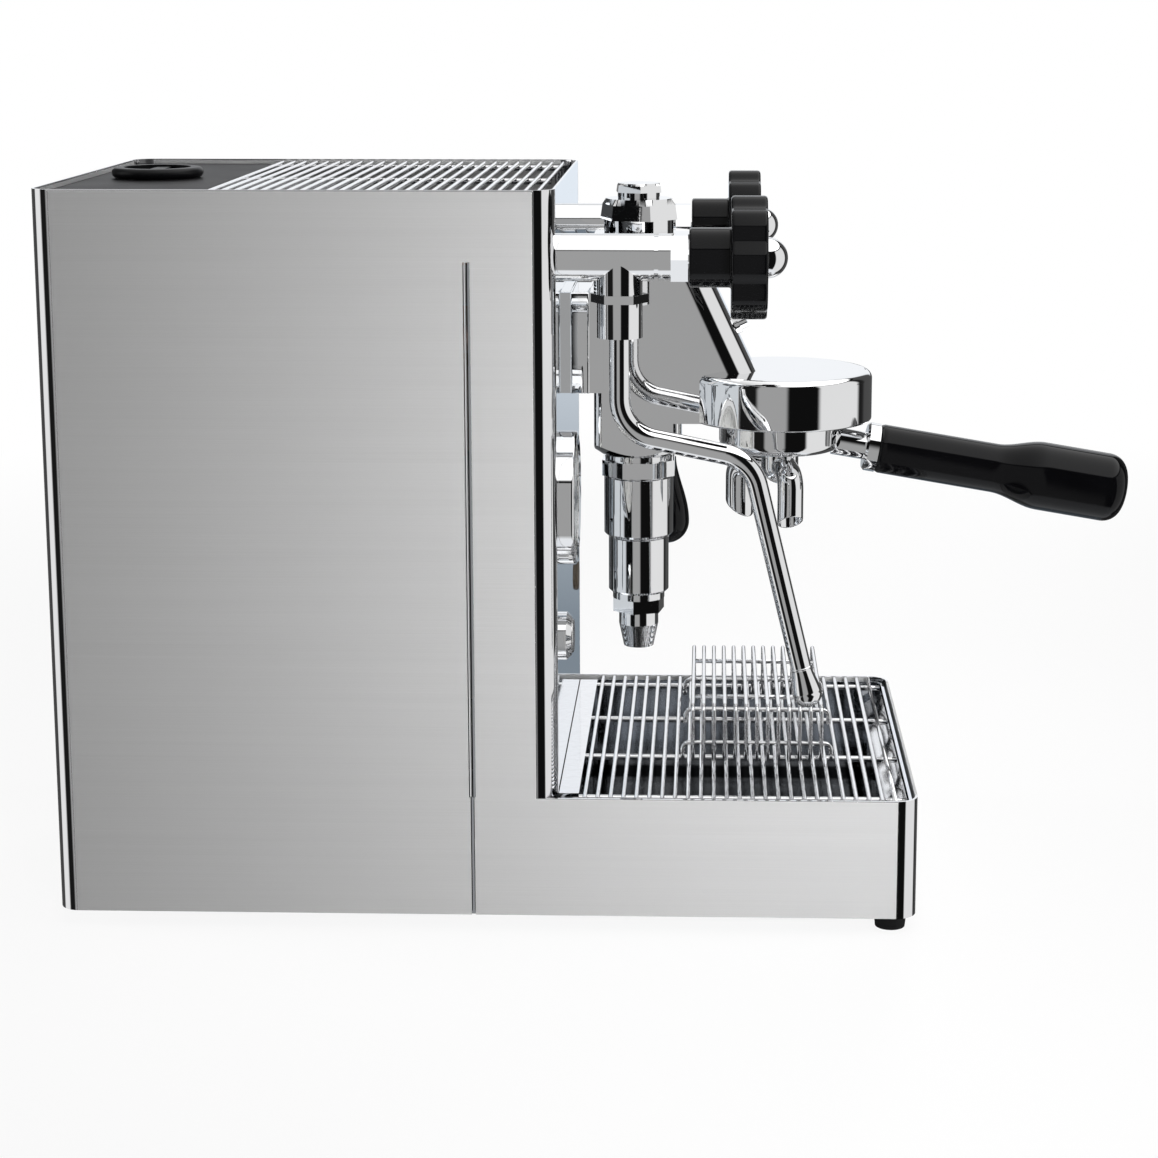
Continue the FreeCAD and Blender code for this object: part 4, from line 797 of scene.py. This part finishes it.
# where the backdrop, the slate under it, the dark lines, the ground and the ceiling start and end
# turns are shares of a full one from the viewer's side, heights are those of a unit direction
cardEdge = {
    "backdropTurn": (0.474, 0.485), "upperTurn": (0.430, 0.446), "upper": (0.0, 0.04),
    "slate": (-0.25, -0.08), "backdrop": (-0.06, -0.02), "lineLow": (-0.018, -0.012),
    "lineHigh": (0.052, 0.042), "gap": (0.575, 0.590), "ground": (-0.84, -0.90), "ceiling": (0.625, 0.66),
    "ceilingRear": 0.55, "ceilingGain": 2.6, "ambient": 0.19,
}
k = cardEdge
world = bpy.data.worlds.new("studio")
bpy.context.scene.world = world
world.use_nodes = True
tree = world.node_tree
s = Signal(tree)
xWay, yWay, zWay = s.parts(s.node("ShaderNodeTexCoord", out="Generated"))
turnShare = s.maths("ARCTAN2", yWay * -1.0, xWay * -1.0) / (2 * math.pi) + 0.5
cards = s.node("ShaderNodeValToRGB", {"interpolation": "LINEAR", "stops": [
    (0.5 + turn / 360, tone) for turn, tone in cardTurns]}, {0: turnShare})
fromViewer = s.maths("ABSOLUTE", turnShare - 0.5)
upper = fromViewer.rise(*k["upperTurn"])
away = fromViewer.rise(*k["backdropTurn"]).larger(upper * zWay.rise(*k["upper"]))
slate = s.mixColour(zWay.rise(*k["slate"]), (0.21, 0.25, 0.29), (0.80, 0.86, 0.93))
cards = s.mixColour(away, cards, s.mixColour(zWay.rise(*k["backdrop"]), slate, (0.95, 0.97, 1.0)))
horizon = upper * zWay.rise(*k["lineLow"]) * zWay.rise(*k["lineHigh"])
cards = s.mixColour(horizon, cards, (0.02, 0.02, 0.02))
cards = s.mixColour(zWay.rise(*k["gap"]), cards, (0.01, 0.01, 0.01))
cards = s.mixColour(zWay.rise(*k["ground"]), cards, (0.85, 0.87, 0.9))
frontward = yWay * -0.5 + 0.5
ceiling = frontward * frontward * k["ceilingGain"] + k["ceilingRear"]
around = s.mixColour(zWay.rise(*k["ceiling"]), cards, ceiling)
tone = s.mixColour(s.node("ShaderNodeLightPath", out="Is Glossy Ray"), (k["ambient"],) * 3, around)
cameraRay = s.node("ShaderNodeLightPath", out="Is Camera Ray")
clear = cameraRay.larger(s.node("ShaderNodeLightPath", out="Is Transmission Ray"))
tone = s.mixColour(clear, tone, (1, 1, 1))
tree.links.new(tone.socket, tree.nodes["Background"].inputs["Color"])
print("stage set")


def softLight(name, at, target, size, power, spread=180):
    # an area lamp that shows neither in reflections nor through glass
    lamp = bpy.data.lights.new(name, "AREA")
    lamp.energy = power
    lamp.shape = "RECTANGLE"
    lamp.size, lamp.size_y = size
    thing = bpy.data.objects.new(name, lamp)
    thing.location = at
    thing.rotation_mode = "QUATERNION"
    thing.rotation_quaternion = (Vector(target) - Vector(at)).to_track_quat("-Z", "Y")
    lamp.spread = math.radians(spread)
    thing.visible_glossy = False
    thing.visible_transmission = False
    bpy.context.collection.objects.link(thing)


softLight("overhead softbox", (-0.3, -0.2, 1.6), (0, 0, 0.2), (1.4, 1.4), power=9)
softLight("side softbox", (-1.1, -0.34, 0.24), (-0.11, -0.12, 0.10), (0.3, 0.9), power=2.7, spread=50)
softLight("right softbox", (1.1, -0.3, 0.3), (0.11, -0.02, 0.17), (0.3, 0.9), power=2.2, spread=50)
softLight("front softbox", (0.05, -1.5, 0.3), (0.0, -0.15, 0.15), (0.9, 0.5), power=1.4, spread=50)
softLight("rear softbox", (0.1, 1.4, 0.3), (0.0, 0.26, 0.18), (0.9, 0.5), power=2.0, spread=50)

# camera: close to where the photograph was taken from, tilted down to keep the whole object in other views
cameraSize = {
    "at": (-1.2289, -0.0499, 0.4410), "yaw": 0.0294, "pitch": 0.1779, "lens": 76.33, "sensor": 36,
    "shift": (-0.05, -0.12), "near": 0.02,
}
lens = bpy.data.cameras.new("photo camera")
lens.lens = cameraSize["lens"]
lens.sensor_width = cameraSize["sensor"]
lens.shift_x, lens.shift_y = cameraSize["shift"]
lens.clip_start = cameraSize["near"]
viewer = bpy.data.objects.new("photo camera", lens)
viewer.location = cameraSize["at"]
yaw, pitch = cameraSize["yaw"], cameraSize["pitch"]
ahead = Vector((math.cos(pitch) * math.cos(yaw), math.cos(pitch) * math.sin(yaw), -math.sin(pitch)))
viewer.rotation_mode = "QUATERNION"
viewer.rotation_quaternion = ahead.to_track_quat("-Z", "Y")
bpy.context.collection.objects.link(viewer)
bpy.context.scene.camera = viewer
bpy.context.scene.view_settings.view_transform = "Standard"

print("scene ready")
